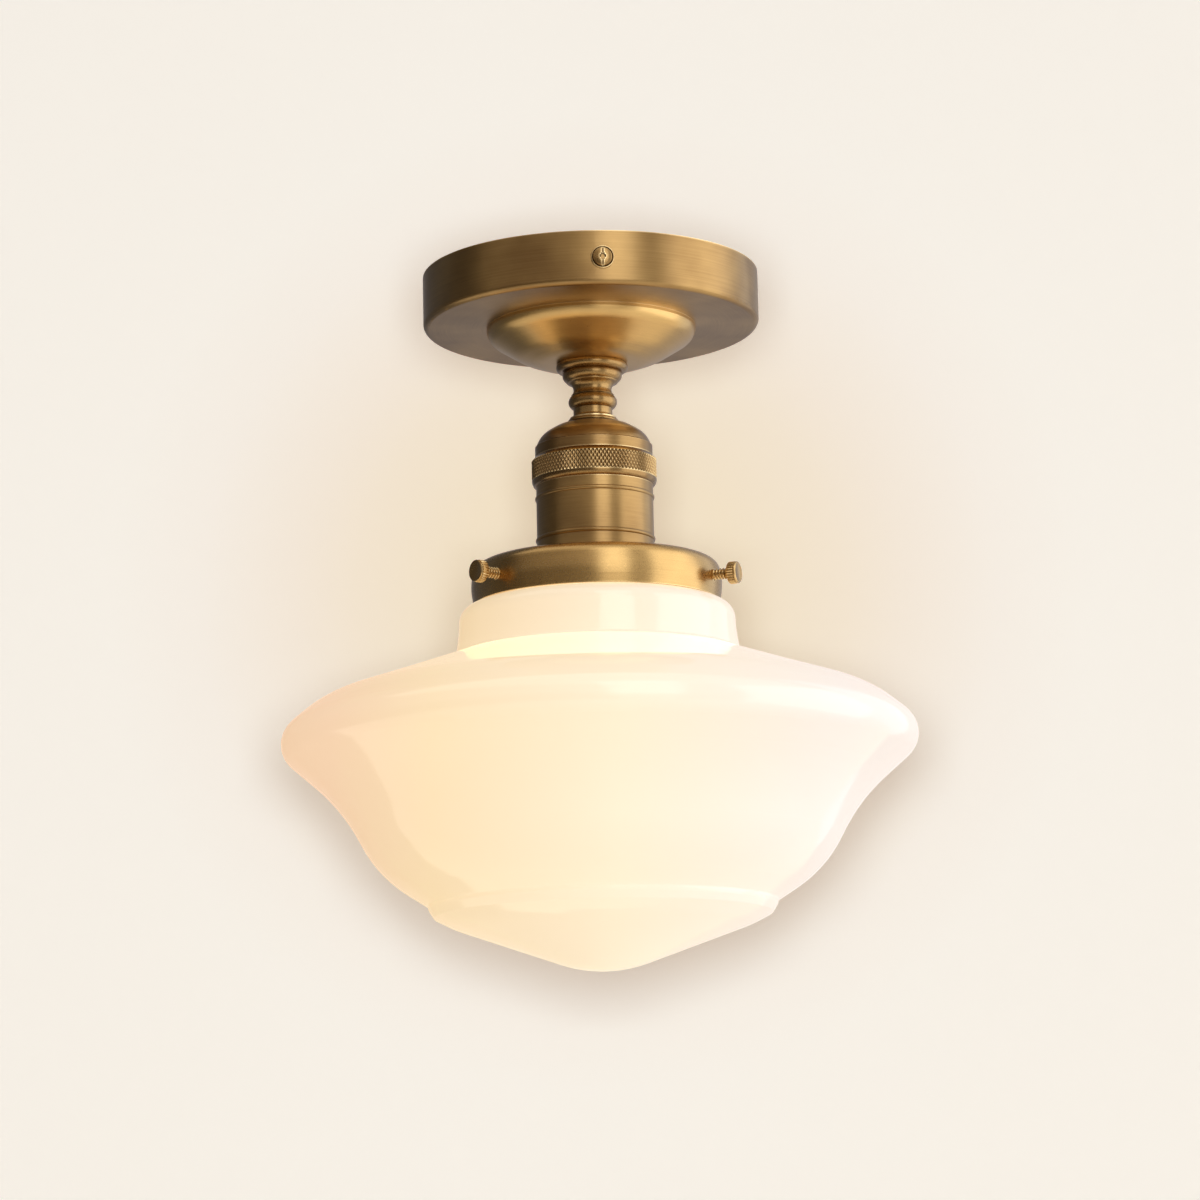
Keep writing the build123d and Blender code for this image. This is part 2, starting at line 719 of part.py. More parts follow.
# ---------------------------------------------------------------- glass
def shade():
    """Blown opal shade: lip and groove for the screws, neck, wide shoulder, fold and bowl."""
    wall = glass_wall
    lip_top = thumbscrew_level + lip_above_screws
    lip_foot = lip_top - lip_round
    flare_foot = lip_foot - lip_flare_height
    groove_foot = thumbscrew_level - m4_radius - tip_gap
    crease = gallery_rim - shade_neck_height
    widest = gallery_rim - shade_widest_drop
    fold = gallery_rim - fold_drop
    step_bottom = fold - step_roll_height
    tip = step_bottom - bowl_depth
    swell = shade_neck_radius - groove_radius
    reach = shade_radius - shade_neck_foot_radius
    fall = crease - widest
    under = shade_radius - fold_radius
    depth = widest - fold

    turn = radians(bowl_slope)
    meet = (bowl_tip_round * sin(turn), tip + bowl_tip_round * (1 - cos(turn)))
    knee_radius = 0.895 * step_radius
    knee = (knee_radius, meet[1] + (knee_radius - meet[0]) * tan(turn))
    upper = [
        (groove_radius, flare_foot),
        (groove_radius, groove_foot - 4.4),
        (groove_radius + 0.95 * swell, gallery_rim - 1.0),
        (shade_neck_radius - 0.1, gallery_rim - 12.1),
        (shade_neck_foot_radius, crease),
        (shade_neck_foot_radius + 0.42 * reach, crease - 0.30 * fall),
        (shade_neck_foot_radius + 0.80 * reach, crease - 0.56 * fall),
        (shade_radius + 0.55 * shade_rim_round, widest - 0.02 * fall),
        (shade_radius - 0.42 * under, widest - 0.40 * depth),
        (shade_radius - 0.65 * under, widest - 0.80 * depth),
        (fold_radius, fold),
    ]
    upper_rounds = [4.5, 5.7, 56.0, 1.2, 45.0, 34.0, shade_rim_round, 70.0, 44.0]
    fold_round, roll_round, step_round, knee_round = 0.9, 2.8, 0.8, 36.0
    roll = (fold_radius - 0.15, fold - 0.3 * step_roll_height)
    step = (step_radius, step_bottom)
    outer = upper + [roll, step, knee, meet]
    outer_rounds = upper_rounds + [fold_round, roll_round, step_round, knee_round]
    inner, inner_rounds = inset(
        upper + [step, knee, meet], upper_rounds + [fold_round, step_round, knee_round], wall
    )
    inner_tip = tip + wall
    half = turn / 2
    inner_tip_round = bowl_tip_round - wall
    return turned(
        run(inner[0], (groove_radius - wall, lip_top), (lip_radius - lip_round, lip_top)),
        arc(
            (lip_radius - lip_round, lip_top),
            (lip_radius - 0.3 * lip_round, lip_top - 0.3 * lip_round),
            (lip_radius, lip_foot),
        ),
        run((lip_radius, lip_foot), (groove_radius, flare_foot)),
        rounded(outer, outer_rounds),
        arc(meet, (bowl_tip_round * sin(half), tip + bowl_tip_round * (1 - cos(half))), (0, tip)),
        run((0, tip), (0, inner_tip)),
        arc(
            (0, inner_tip),
            (inner_tip_round * sin(half), inner_tip + inner_tip_round * (1 - cos(half))),
            inner[-1],
        ),
        rounded(inner, inner_rounds),
    )


# ---------------------------------------------------------------- lamp
lamp_cap_top = lamp_top - lamp_contact_height - lamp_insulator_height
lamp_cap_bottom = lamp_cap_top - lamp_cap_length
lamp_bottom = lamp_top - lamp_length


def lamp_contact():
    """Solder button on the lamp's end."""
    return tube(lamp_contact_radius, 0, lamp_top, lamp_top - lamp_contact_height)


def lamp_insulator():
    """Black glass cone between the lamp's contact and its cap."""
    top = lamp_top - lamp_contact_height
    return turned(
        run((0, lamp_cap_top), (0, top), (lamp_contact_radius + 0.4, top)),
        run((lamp_contact_radius + 0.4, top), (lamp_insulator_radius, lamp_cap_top), (0, lamp_cap_top)),
    )


def lamp_cap():
    """The lamp's metal screw base."""
    inside = lamp_cap_radius - lamp_cap_wall
    barrel = tube(lamp_cap_radius, inside, lamp_cap_top, lamp_cap_bottom)
    return barrel + tube(lamp_cap_radius, 0, lamp_cap_top, lamp_cap_top - lamp_cap_wall)


def lamp_glass():
    """Thin glass envelope, pear shaped, with its neck inside the cap."""
    neck_top = lamp_cap_bottom + lamp_neck_inside_cap
    inside_neck = lamp_cap_radius - lamp_cap_wall - lamp_neck_gap
    ball = lamp_bottom + lamp_globe_radius
    neck_end = lamp_cap_bottom - 4.0
    slope = lamp_globe_radius - lamp_neck_radius
    wall = lamp_glass_wall
    turn = radians(40)
    meet = (lamp_globe_radius * cos(turn), ball + lamp_globe_radius * sin(turn))
    inner_radius = lamp_globe_radius - wall
    inner_meet = (inner_radius * cos(turn), ball + inner_radius * sin(turn))
    mid = radians(-35)
    drop = neck_end - meet[1]
    outer = [
        (lamp_neck_radius, neck_end),
        (lamp_neck_radius + 0.01 * slope, neck_end - 0.10 * drop),
        (lamp_neck_radius + 0.41 * slope, neck_end - 0.89 * drop),
        meet,
    ]
    inner, inner_rounds = inset(outer, lamp_neck_rounds, wall)
    inner[0] = (lamp_neck_radius - wall, neck_end)
    inner[-1] = inner_meet
    return turned(
        run((inside_neck - wall, neck_top), (inside_neck, neck_top), (inside_neck, lamp_cap_bottom - 0.3)),
        run((inside_neck, lamp_cap_bottom - 0.3), (lamp_neck_radius, neck_end)),
        rounded(outer, lamp_neck_rounds),
        arc(
            meet,
            (lamp_globe_radius * cos(mid), ball + lamp_globe_radius * sin(mid)),
            (0, lamp_bottom),
        ),
        run((0, lamp_bottom), (0, lamp_bottom + wall)),
        arc(
            (0, lamp_bottom + wall),
            (inner_radius * cos(mid), ball + inner_radius * sin(mid)),
            inner_meet,
        ),
        rounded(inner, inner_rounds),
        run((lamp_neck_radius - wall, neck_end), (inside_neck - wall, lamp_cap_bottom - 0.3)),
        run((inside_neck - wall, lamp_cap_bottom - 0.3), (inside_neck - wall, neck_top)),
    )


# ---------------------------------------------------------------- wiring
pole_places = (-pole_pitch, 0, pole_pitch)
block_middle_y = block_front_y + block_depth / 2
block_bottom = bracket_underside - block_height


def pole_screw_points():
    """Foot of each pole screw, two to a pole, on the block's underside."""
    offset = block_depth / 4 + 1.0
    return [
        (place, block_middle_y + side * offset, block_bottom) for place in pole_places for side in (-1, 1)
    ]


def terminal_block():
    """Three-pole block under the bracket, bored for the leads and for its screws."""
    body = Pos(0, block_middle_y, bracket_underside - block_height / 2) * Box(
        block_width, block_depth, block_height
    )
    body = fillet(body.edges().filter_by(Axis.Z), 1.5)
    for place in pole_places:
        for side in (-1, 1):
            start = (place, block_middle_y + side * block_depth / 2, pole_level)
            body -= rod(pole_bore_radius, start, (0, -side, 0), block_depth / 2 - 1.5)
    for point in pole_screw_points():
        body -= rod(pole_screw_radius + screw_clearance, point, (0, 0, 1), pole_screw_height + 0.5)
    fixing_point = (0, block_middle_y, block_bottom)
    body -= rod(m3_head_radius + 0.3, fixing_point, (0, 0, 1), m3_head_height + 2.0)
    return body - rod(m3_radius + screw_clearance, fixing_point, (0, 0, 1), block_height)


def terminal_block_screws():
    """Six slotted clamping screws, set in from the block's underside."""
    depth = 0.5
    return [
        rod(pole_screw_radius, (x, y, level + depth), (0, 0, 1), pole_screw_height)
        for x, y, level in pole_screw_points()
    ]


def block_fixing_screw():
    """Screw that holds the terminal block up to the bracket."""
    seat = (0, block_middle_y, block_bottom + m3_head_height + 2.0)
    length = bracket_underside + bracket_thickness - 0.2 - seat[2]
    return pan_head_screw(seat, (0, 0, 1), m3_radius, length, m3_head_radius, m3_head_height)


def earth_screw():
    """Screw under the bracket that takes the earth lead."""
    return pan_head_screw(
        (0, earth_screw_y, bracket_underside - 2 * lead_radius - 0.2),
        (0, 0, 1),
        m4_radius,
        2 * lead_radius + 0.2 + bracket_thickness - 0.2,
        m4_head_radius,
        m4_head_height,
    )


def wire(points):
    """Lead along straight runs joined by arcs as large as the runs allow."""
    corners = [Vector(*point) for point in points]
    radii = []
    for before, corner, after in zip(corners, corners[1:], corners[2:]):
        run_in, run_out = corner - before, after - corner
        half_turn = radians(run_in.get_angle(run_out) / 2)
        radii.append(0.45 * min(run_in.length, run_out.length) / tan(half_turn))
    print("lead arc radii", [round(radius, 1) for radius in radii])
    path = FilletPolyline(*corners, radius=radii)
    start = Plane(origin=path @ 0, z_dir=path % 0)
    return sweep(start * Circle(lead_radius), path=path)


def lead(side, place):
    """Lead from a pole of the block, down the nipple, into the insert."""
    down_x = side * lead_offset_in_nipple
    hole_x = side * lead_hole_offset
    return wire(
        [
            (place, block_front_y, pole_level),
            (place * 0.75 + down_x * 0.25, 5.5, pole_level + 1.6),
            (place * 0.25 + down_x * 0.75, 1.4, pole_level + 0.4),
            (down_x, 0, pole_level - 5.0),
            (down_x, -0.3, nipple_bottom - 1.5),
            (hole_x - side * 0.4, 0, insert_top + 3.0),
            (hole_x, 0, insert_top - lead_hole_depth + 0.3),
        ]
    )


def lead_earth():
    """Earth lead from the block's third pole to the earth screw."""
    x = pole_places[0]
    loop_x = -m4_radius - lead_radius - 0.3
    level = bracket_underside - lead_radius - 0.1
    return wire(
        [
            (x, block_front_y, pole_level),
            (x - 0.6, 3.0, pole_level - 0.2),
            (x - 0.2, -5.0, pole_level + 1.6),
            (loop_x - 0.8, -12.0, level - 0.6),
            (loop_x, earth_screw_y + 1.0, level),
        ]
    )


def export_all(pieces):
    """Write each node's solid, or its group of separate solids, to its own file."""
    os.makedirs("parts", exist_ok=True)
    for name, piece in pieces.items():
        shape = Compound(children=piece) if isinstance(piece, list) else piece
        export_step(shape, f"parts/{name}.step")
        print(name)


pieces = {
    "mounting_bracket": mounting_bracket(),
    "canopy": canopy(),
    "canopy_side_screws": canopy_side_screws(),
    "dome_cup": dome_cup(),
    "check_ring": check_ring(),
    "spindle": spindle(),
    "nipple": nipple(),
    "nipple_nuts": nipple_nuts(),
    "lock_washer": lock_washer(),
    "socket_cap": socket_cap(),
    "knurled_ring": knurled_ring(),
    "socket_shell": socket_shell(),
    "lampholder_insert": lampholder_insert(),
    "lamp_contact_shell": lamp_contact_shell(),
    "centre_contact": centre_contact(),
    "lampholder_screws": lampholder_screws(),
    "gallery": gallery(),
    "shade_ring": shade_ring(),
    "shade": shade(),
    "bulb_contact": lamp_contact(),
    "bulb_insulator": lamp_insulator(),
    "bulb_cap": lamp_cap(),
    "bulb_glass": lamp_glass(),
    "terminal_block": terminal_block(),
    "terminal_block_screws": terminal_block_screws(),
    "block_fixing_screw": block_fixing_screw(),
    "earth_screw": earth_screw(),
    "lead_live": lead(1, pole_places[2]),
    "lead_neutral": lead(-1, pole_places[1]),
    "lead_earth": lead_earth(),
}
for number, direction in enumerate(thumbscrew_directions(), start=1):
    pieces[f"thumbscrew_{number}"] = thumbscrew(direction)
export_all(pieces)
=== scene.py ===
"""Semi flush ceiling light: satin brass fitting with a lit, stepped opal glass shade.

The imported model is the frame: metres, z = 0 on the ceiling, the lamp's axis along Z, front to -Y.
Sizes that this file adds to the light are in millimetres, and MM turns them to metres. The stage's
distances are in metres.
"""
from math import cos, pi, radians, sin

import bpy
from bpy.props import FloatProperty, FloatVectorProperty, IntProperty, PointerProperty
from mathutils import Matrix, Vector


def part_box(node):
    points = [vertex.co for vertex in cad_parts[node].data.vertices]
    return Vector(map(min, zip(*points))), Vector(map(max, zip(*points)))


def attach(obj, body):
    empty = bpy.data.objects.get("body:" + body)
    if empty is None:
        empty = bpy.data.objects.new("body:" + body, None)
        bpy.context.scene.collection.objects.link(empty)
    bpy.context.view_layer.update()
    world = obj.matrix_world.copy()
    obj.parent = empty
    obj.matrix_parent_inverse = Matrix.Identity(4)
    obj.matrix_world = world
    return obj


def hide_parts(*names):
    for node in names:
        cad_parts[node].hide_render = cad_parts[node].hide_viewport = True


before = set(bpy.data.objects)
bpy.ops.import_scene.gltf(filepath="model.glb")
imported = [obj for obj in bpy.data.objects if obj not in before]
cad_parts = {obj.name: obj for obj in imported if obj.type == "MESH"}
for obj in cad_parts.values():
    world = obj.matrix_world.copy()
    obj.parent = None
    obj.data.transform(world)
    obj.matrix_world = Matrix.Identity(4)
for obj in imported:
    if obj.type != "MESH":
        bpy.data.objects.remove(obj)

bl_info = {
    "name": "Semi Flush Ceiling Light",
    "version": (1, 0, 0),
    "blender": (4, 5, 0),
    "location": "View3D > Sidebar > Ceiling Light",
    "description": "Dresses a satin brass ceiling light with a lit opal glass shade",
    "category": "Add Mesh",
}

MM = 0.001
SHARP_ANGLE, CARVED_ANGLE, KNURL_ANGLE = 35, 30, 22  # degrees past which an edge stays sharp
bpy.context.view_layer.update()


# ---------------------------------------------------------------- helpers
def linear(hex_colour):
    """sRGB hex colour as linear red, green, blue and alpha."""
    channels = [int(hex_colour[i : i + 2], 16) / 255 for i in (1, 3, 5)]
    return [c / 12.92 if c <= 0.04045 else ((c + 0.055) / 1.055) ** 2.4 for c in channels] + [1.0]


def add_node(tree, kind, values=None, links=None, stops=None, **settings):
    """Adds a shader node, sets its properties, socket values and ramp stops, and links its inputs."""
    made = tree.nodes.new(kind)
    for name, value in settings.items():
        setattr(made, name, value)
    for name, value in (values or {}).items():
        made.inputs[name].default_value = value
    for name, source in (links or {}).items():
        tree.links.new(source, made.inputs[name])
    for number, (place, colour) in enumerate(stops or ()):
        elements = made.color_ramp.elements
        element = elements[number] if number < len(elements) else elements.new(place)
        element.position = place
        element.color = linear(colour)
    return made


def new_material(name):
    """Empty node material, its tree and its output."""
    material = bpy.data.materials.new(name)
    material.use_nodes = True
    tree = material.node_tree
    tree.nodes.clear()
    return material, tree, add_node(tree, "ShaderNodeOutputMaterial")


def dress(obj, material):
    """Gives an object one material."""
    obj.data.materials.clear()
    obj.data.materials.append(material)
    return obj


def mesh_piece(name, points, faces, sharp_angle=SHARP_ANGLE):
    """Object with a smooth-shaded mesh whose edges past an angle stay sharp."""
    mesh = bpy.data.meshes.new(name)
    mesh.from_pydata(points, [], faces)
    mesh.validate()
    mesh.update()
    mesh.polygons.foreach_set("use_smooth", [True] * len(mesh.polygons))
    mesh.set_sharp_from_angle(angle=radians(sharp_angle))
    obj = bpy.data.objects.new(name, mesh)
    bpy.context.scene.collection.objects.link(obj)
    return obj


def skinned(name, rings, place=Matrix(), ends=""):
    """Tube through rings of as many points each, with its first and last ends closed or left open."""
    sides = len(rings[0])
    points = [place @ Vector(point) for ring in rings for point in ring]
    faces = []
    for row in range(len(rings) - 1):
        for side in range(sides):
            this, after = row * sides + side, row * sides + (side + 1) % sides
            faces.append((this, after, after + sides, this + sides))
    if "first" in ends:
        faces.append(tuple(reversed(range(sides))))
    if "last" in ends:
        faces.append(tuple(range((len(rings) - 1) * sides, len(rings) * sides)))
    return mesh_piece(name, points, faces)


def ring(radius, level, sides):
    """Points round the local Z axis, where the radius may be a function of the turn."""
    points = []
    for side in range(sides):
        turn = 2 * pi * side / sides
        reach = radius(turn) if callable(radius) else radius
        points.append((reach * cos(turn), reach * sin(turn), level))
    return points


def facing(origin, direction):
    """Matrix that puts the local Z axis along a direction at an origin, with local Y upwards."""
    return Matrix.Translation(origin) @ direction.to_track_quat("Z", "Y").to_matrix().to_4x4()


def joined(name, pieces, sharp_angle):
    """One object from several, which are used up."""
    points, faces = [], []
    for piece in pieces:
        first = len(points)
        points += [vertex.co.copy() for vertex in piece.data.vertices]
        faces += [tuple(first + corner for corner in face.vertices) for face in piece.data.polygons]
        bpy.data.objects.remove(piece)
    return mesh_piece(name, points, faces, sharp_angle)


def carved(obj, cutters):
    """The object with its cutters taken out of it, which are used up."""
    for cutter in cutters:
        recess = obj.modifiers.new("recess", "BOOLEAN")
        recess.solver = "EXACT"
        recess.operation = "DIFFERENCE"
        recess.object = cutter
    graph = bpy.context.evaluated_depsgraph_get()
    mesh = bpy.data.meshes.new_from_object(obj.evaluated_get(graph))
    obj.modifiers.clear()
    obj.data = mesh
    mesh.set_sharp_from_angle(angle=radians(CARVED_ANGLE))
    for cutter in cutters:
        bpy.data.objects.remove(cutter)
    return obj


def reach_along(node, direction):
    """How far a CAD node starts and ends along a direction from the lamp's axis."""
    reaches = [direction.dot(vertex.co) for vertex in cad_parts[node].data.vertices]
    return min(reaches), max(reaches)


# ---------------------------------------------------------------- sizes and colours that a user sets
class CeilingLightSizes(bpy.types.PropertyGroup):
    """Fine forms that the fitting's finish needs."""

    knurl_columns: IntProperty(
        name="Knurl columns", description="Diamonds round the clamp ring", default=100, min=24
    )
    knurl_rows: IntProperty(
        name="Knurl half rows", description="Half rows of diamonds over the band", default=6, min=2
    )
    knurl_depth: FloatProperty(
        name="Knurl depth", description="Depth of the knurl's grooves", default=0.4 * MM, min=0,
        unit="LENGTH", precision=5,
    )
    thread_pitch: FloatProperty(
        name="Thumbscrew pitch", description="Pitch of the thumbscrews' coarse thread",
        default=1.15 * MM, min=0.3 * MM, unit="LENGTH", precision=5,
    )
    thread_depth: FloatProperty(
        name="Thumbscrew thread depth", description="Depth of the thumbscrews' thread",
        default=0.42 * MM, min=0, unit="LENGTH", precision=5,
    )
    head_teeth: IntProperty(
        name="Head teeth", description="Straight teeth round a thumbscrew's head", default=28, min=8
    )
    lamp_pitch: FloatProperty(
        name="Lamp cap pitch", description="Pitch of the lamp cap's rolled thread",
        default=3.63 * MM, min=1 * MM, unit="LENGTH", precision=5,
    )


class CeilingLightColours(bpy.types.PropertyGroup):
    """Colours of the finishes, as a paint chip would name them."""

    brass: FloatVectorProperty(
        name="Brass", description="Satin brass under its lacquer", subtype="COLOR", size=4,
        default=linear("#D9B372"),
    )
    patina: FloatVectorProperty(
        name="Patina", description="Brass where it has darkened", subtype="COLOR", size=4,
        default=linear("#8F6E40"),
    )
    # colour of edges and beads lightened by rubbing wear and by a painted highlight
    rub_and_highlight: FloatVectorProperty(
        name="Rubbed edge", description="Brass where edges and beads are rubbed bright",
        subtype="COLOR", size=4, default=linear("#FBDFA6"),
    )
    # colour of the darkened grooves and recesses: painted shade, with wax and tarnish
    groove_shade_and_dirt: FloatVectorProperty(
        name="Groove", description="Dark wax and tarnish left in the grooves", subtype="COLOR",
        size=4, default=linear("#2A1B0D"),
    )
    glass: FloatVectorProperty(
        name="Opal glass", description="White of the shade's glass", subtype="COLOR", size=4,
        default=linear("#CBC9C7"),
    )


def sizes():
    return bpy.context.scene.ceiling_light_sizes


def colours():
    return bpy.context.scene.ceiling_light_colours


# ---------------------------------------------------------------- materials
LATHE_LINE = 0.35 * MM  # turning lines are about 0.05 mm apart; this is the finest that shows
LATHE_LINE_DRIFT = 0.6 * MM  # how far the pattern moves on for each radian round the lamp's axis
TARNISH_PATCH = 22 * MM
POLISH_GRAIN = 0.5 * MM
RUB_AND_HIGHLIGHT_REACH = 0.6 * MM  # how near an edge the brass is lightened: wear from rubbing and a painted highlight
GROOVE_SHADE_REACH = 0.9 * MM  # how near to each other two walls are darkened: painted shade, with the wax and tarnish held there
LATHE_HEIGHT = 0.02 * MM
PATINA_SWING = 0.2  # how much the wear changes from patch to patch
STREAK_SWING = 0.08  # and from line to line

GLASS_RIPPLE = 30 * MM
GLASS_RIPPLE_HEIGHT = 0.3 * MM
# where the glass's painted glow turns from warm to pale, and where it dims towards the neck
GLOW_WARM_SIDE, GLOW_PALE_SIDE = -95 * MM, 75 * MM  # along X
GLOW_FULL_LEVEL, GLOW_NECK_LEVEL = -168 * MM, -132 * MM  # along Z

GRAIN_HEIGHT = 0.01 * MM
ROUGHNESS_SPREAD = 0.04


def satin_brass(name, wear, roughness, lathe_lines=True):
    """Brass, brushed round on the lathe and lacquered, with its wear from bright at 0 to dull at 1.

    The fine turning lines spread each reflection upwards and downwards, so a wall shows soft upright
    bands. Slow tone changes are the tarnish under the lacquer. The grooves are darkened as painted
    shade, along with the wax and tarnish held in them, and the beads and edges are lightened by rubbing
    wear and a painted highlight.
    """
    material, tree, output = new_material(name)
    place = add_node(tree, "ShaderNodeTexCoord").outputs["Object"]
    axes = add_node(tree, "ShaderNodeSeparateXYZ", links={"Vector": place})
    across = add_node(
        tree, "ShaderNodeCombineXYZ", links={"X": axes.outputs["X"], "Y": axes.outputs["Y"]}
    )
    reach = add_node(tree, "ShaderNodeVectorMath", links={0: across.outputs[0]}, operation="LENGTH")
    turn = add_node(
        tree, "ShaderNodeMath", links={0: axes.outputs["Y"], 1: axes.outputs["X"]}, operation="ARCTAN2"
    )
    slow_turn = add_node(
        tree, "ShaderNodeMath", {1: LATHE_LINE_DRIFT}, {0: turn.outputs[0]}, operation="MULTIPLY"
    )
    lathe_place = add_node(
        tree,
        "ShaderNodeCombineXYZ",
        links={
            "X": reach.outputs["Value"],
            "Y": slow_turn.outputs[0],
            "Z": axes.outputs["Z"],
        },
    )
    lines = add_node(
        tree,
        "ShaderNodeTexNoise",
        {"Scale": 1 / LATHE_LINE, "Detail": 3.0, "Roughness": 0.65},
        {"Vector": lathe_place.outputs[0] if lathe_lines else place},
    )
    tarnish = add_node(
        tree, "ShaderNodeTexNoise", {"Scale": 1 / TARNISH_PATCH, "Detail": 2.0, "Roughness": 0.5},
        {"Vector": place},
    )
    grain = add_node(
        tree, "ShaderNodeTexNoise", {"Scale": 1 / POLISH_GRAIN, "Detail": 2.0}, {"Vector": place}
    )
    tone = add_node(
        tree,
        "ShaderNodeMapRange",
        {
            "From Min": 0.3,
            "From Max": 0.7,
            "To Min": wear - PATINA_SWING,
            "To Max": wear + PATINA_SWING,
        },
        {"Value": tarnish.outputs["Fac"]},
    )
    streak = add_node(
        tree,
        "ShaderNodeMapRange",
        {"From Min": 0.3, "From Max": 0.7, "To Min": -STREAK_SWING, "To Max": STREAK_SWING},
        {"Value": lines.outputs["Fac"]},
    )
    # painted highlight with rubbing wear: beads, crests and edges, found by tracing inside the metal,
    # are lightened towards the pale brass
    rise = add_node(
        tree, "ShaderNodeAmbientOcclusion", {"Distance": RUB_AND_HIGHLIGHT_REACH}, samples=8, only_local=True,
        inside=True,
    )
    rub_and_highlight = add_node(
        tree,
        "ShaderNodeMapRange",
        {"From Min": 0.88, "From Max": 0.6, "To Max": 0.75},
        {"Value": rise.outputs["AO"]},
    )
    blend = add_node(
        tree, "ShaderNodeMath", links={0: tone.outputs[0], 1: streak.outputs[0]}, operation="ADD",
        use_clamp=True,
    )
    aged = add_node(
        tree,
        "ShaderNodeMix",
        {6: colours().brass, 7: colours().patina},
        {0: blend.outputs[0]},
        data_type="RGBA",
    )
    lightened_edges = add_node(
        tree,
        "ShaderNodeMix",
        {7: colours().rub_and_highlight},
        {0: rub_and_highlight.outputs[0], 6: aged.outputs[2]},
        data_type="RGBA",
    )
    # painted shade: where walls stand close, in grooves, recesses and knurl valleys, the brass is
    # darkened towards its dark colour, along with the wax and tarnish held there
    groove_occlusion = add_node(
        tree, "ShaderNodeAmbientOcclusion", {"Distance": GROOVE_SHADE_REACH}, samples=8, only_local=True
    )
    groove_shade_and_dirt = add_node(
        tree,
        "ShaderNodeMapRange",
        {"From Min": 0.9, "From Max": 0.4, "To Max": 0.85},
        {"Value": groove_occlusion.outputs["AO"]},
    )
    colour = add_node(
        tree,
        "ShaderNodeMix",
        {7: colours().groove_shade_and_dirt},
        {0: groove_shade_and_dirt.outputs[0], 6: lightened_edges.outputs[2]},
        data_type="RGBA",
    )
    rough = add_node(
        tree,
        "ShaderNodeMapRange",
        {"From Min": 0.25, "From Max": 0.75, "To Min": roughness - 0.03, "To Max": roughness + 0.05},
        {"Value": grain.outputs["Fac"]},
    )
    bump = add_node(
        tree,
        "ShaderNodeBump",
        {"Strength": 0.12, "Distance": LATHE_HEIGHT},
        {"Height": lines.outputs["Fac"]},
    )
    tangent = add_node(tree, "ShaderNodeTangent", direction_type="RADIAL", axis="Z")
    surface = add_node(
        tree,
        "ShaderNodeBsdfPrincipled",
        {
            "Metallic": 1.0,
            "Anisotropic": 0.45,
            "Anisotropic Rotation": 0.25,
            "Coat Weight": 0.35,
            "Coat Roughness": 0.22,
        },
        {
            "Base Color": colour.outputs[2],
            "Roughness": rough.outputs[0],
            "Normal": bump.outputs[0],
            "Tangent": tangent.outputs[0],
        },
    )
    tree.links.new(surface.outputs[0], output.inputs["Surface"])
    return material


def opal_glass():
    """Blown opal glass, lit by the lamp inside.

    White glass spreads the lamp's warm light over its whole skin, painted here as a glow of its own, and
    its fire-polished face keeps sharp window reflections. The painted glow is warmest on the left, and
    is painted paler towards the daylight on the right.
    """
    material, tree, output = new_material("Blown Opal Glass")
    place = add_node(tree, "ShaderNodeTexCoord").outputs["Object"]
    axes = add_node(tree, "ShaderNodeSeparateXYZ", links={"Vector": place})
    ripple = add_node(
        tree, "ShaderNodeTexNoise", {"Scale": 1 / GLASS_RIPPLE, "Detail": 1.0}, {"Vector": place}
    )
    side = add_node(
        tree,
        "ShaderNodeMapRange",
        {"From Min": GLOW_WARM_SIDE, "From Max": GLOW_PALE_SIDE},
        {"Value": axes.outputs["X"]},
    )
    # painted light: the lamp's glow through the glass is the glass's own emission, warmer on the left
    # and paler on the right
    glow = add_node(
        tree, "ShaderNodeValToRGB", links={"Fac": side.outputs[0]},
        stops=((0.0, "#E0B98F"), (0.2, "#E2C491"), (0.56, "#E2CDA8"), (1.0, "#CFC1B5")),
    )
    # painted shade: the lamp hangs below the neck, so the neck and the shoulder glow less
    above = add_node(
        tree,
        "ShaderNodeMapRange",
        {"From Min": GLOW_FULL_LEVEL, "From Max": GLOW_NECK_LEVEL},
        {"Value": axes.outputs["Z"]},
    )
    shaded = add_node(
        tree,
        "ShaderNodeMix",
        {7: linear("#F2EFEA")},
        {0: above.outputs[0], 6: glow.outputs["Color"]},
        data_type="RGBA",
        blend_type="MULTIPLY",
    )
    bump = add_node(
        tree,
        "ShaderNodeBump",
        {"Strength": 0.25, "Distance": GLASS_RIPPLE_HEIGHT},
        {"Height": ripple.outputs["Fac"]},
    )
    surface = add_node(
        tree,
        "ShaderNodeBsdfPrincipled",
        {
            "Base Color": colours().glass,
            "Roughness": 0.09,
            "IOR": 1.6,
            "Emission Strength": 1.0,
        },
        {"Emission Color": shaded.outputs[2], "Normal": bump.outputs[0]},
    )
    tree.links.new(surface.outputs[0], output.inputs["Surface"])
    return material


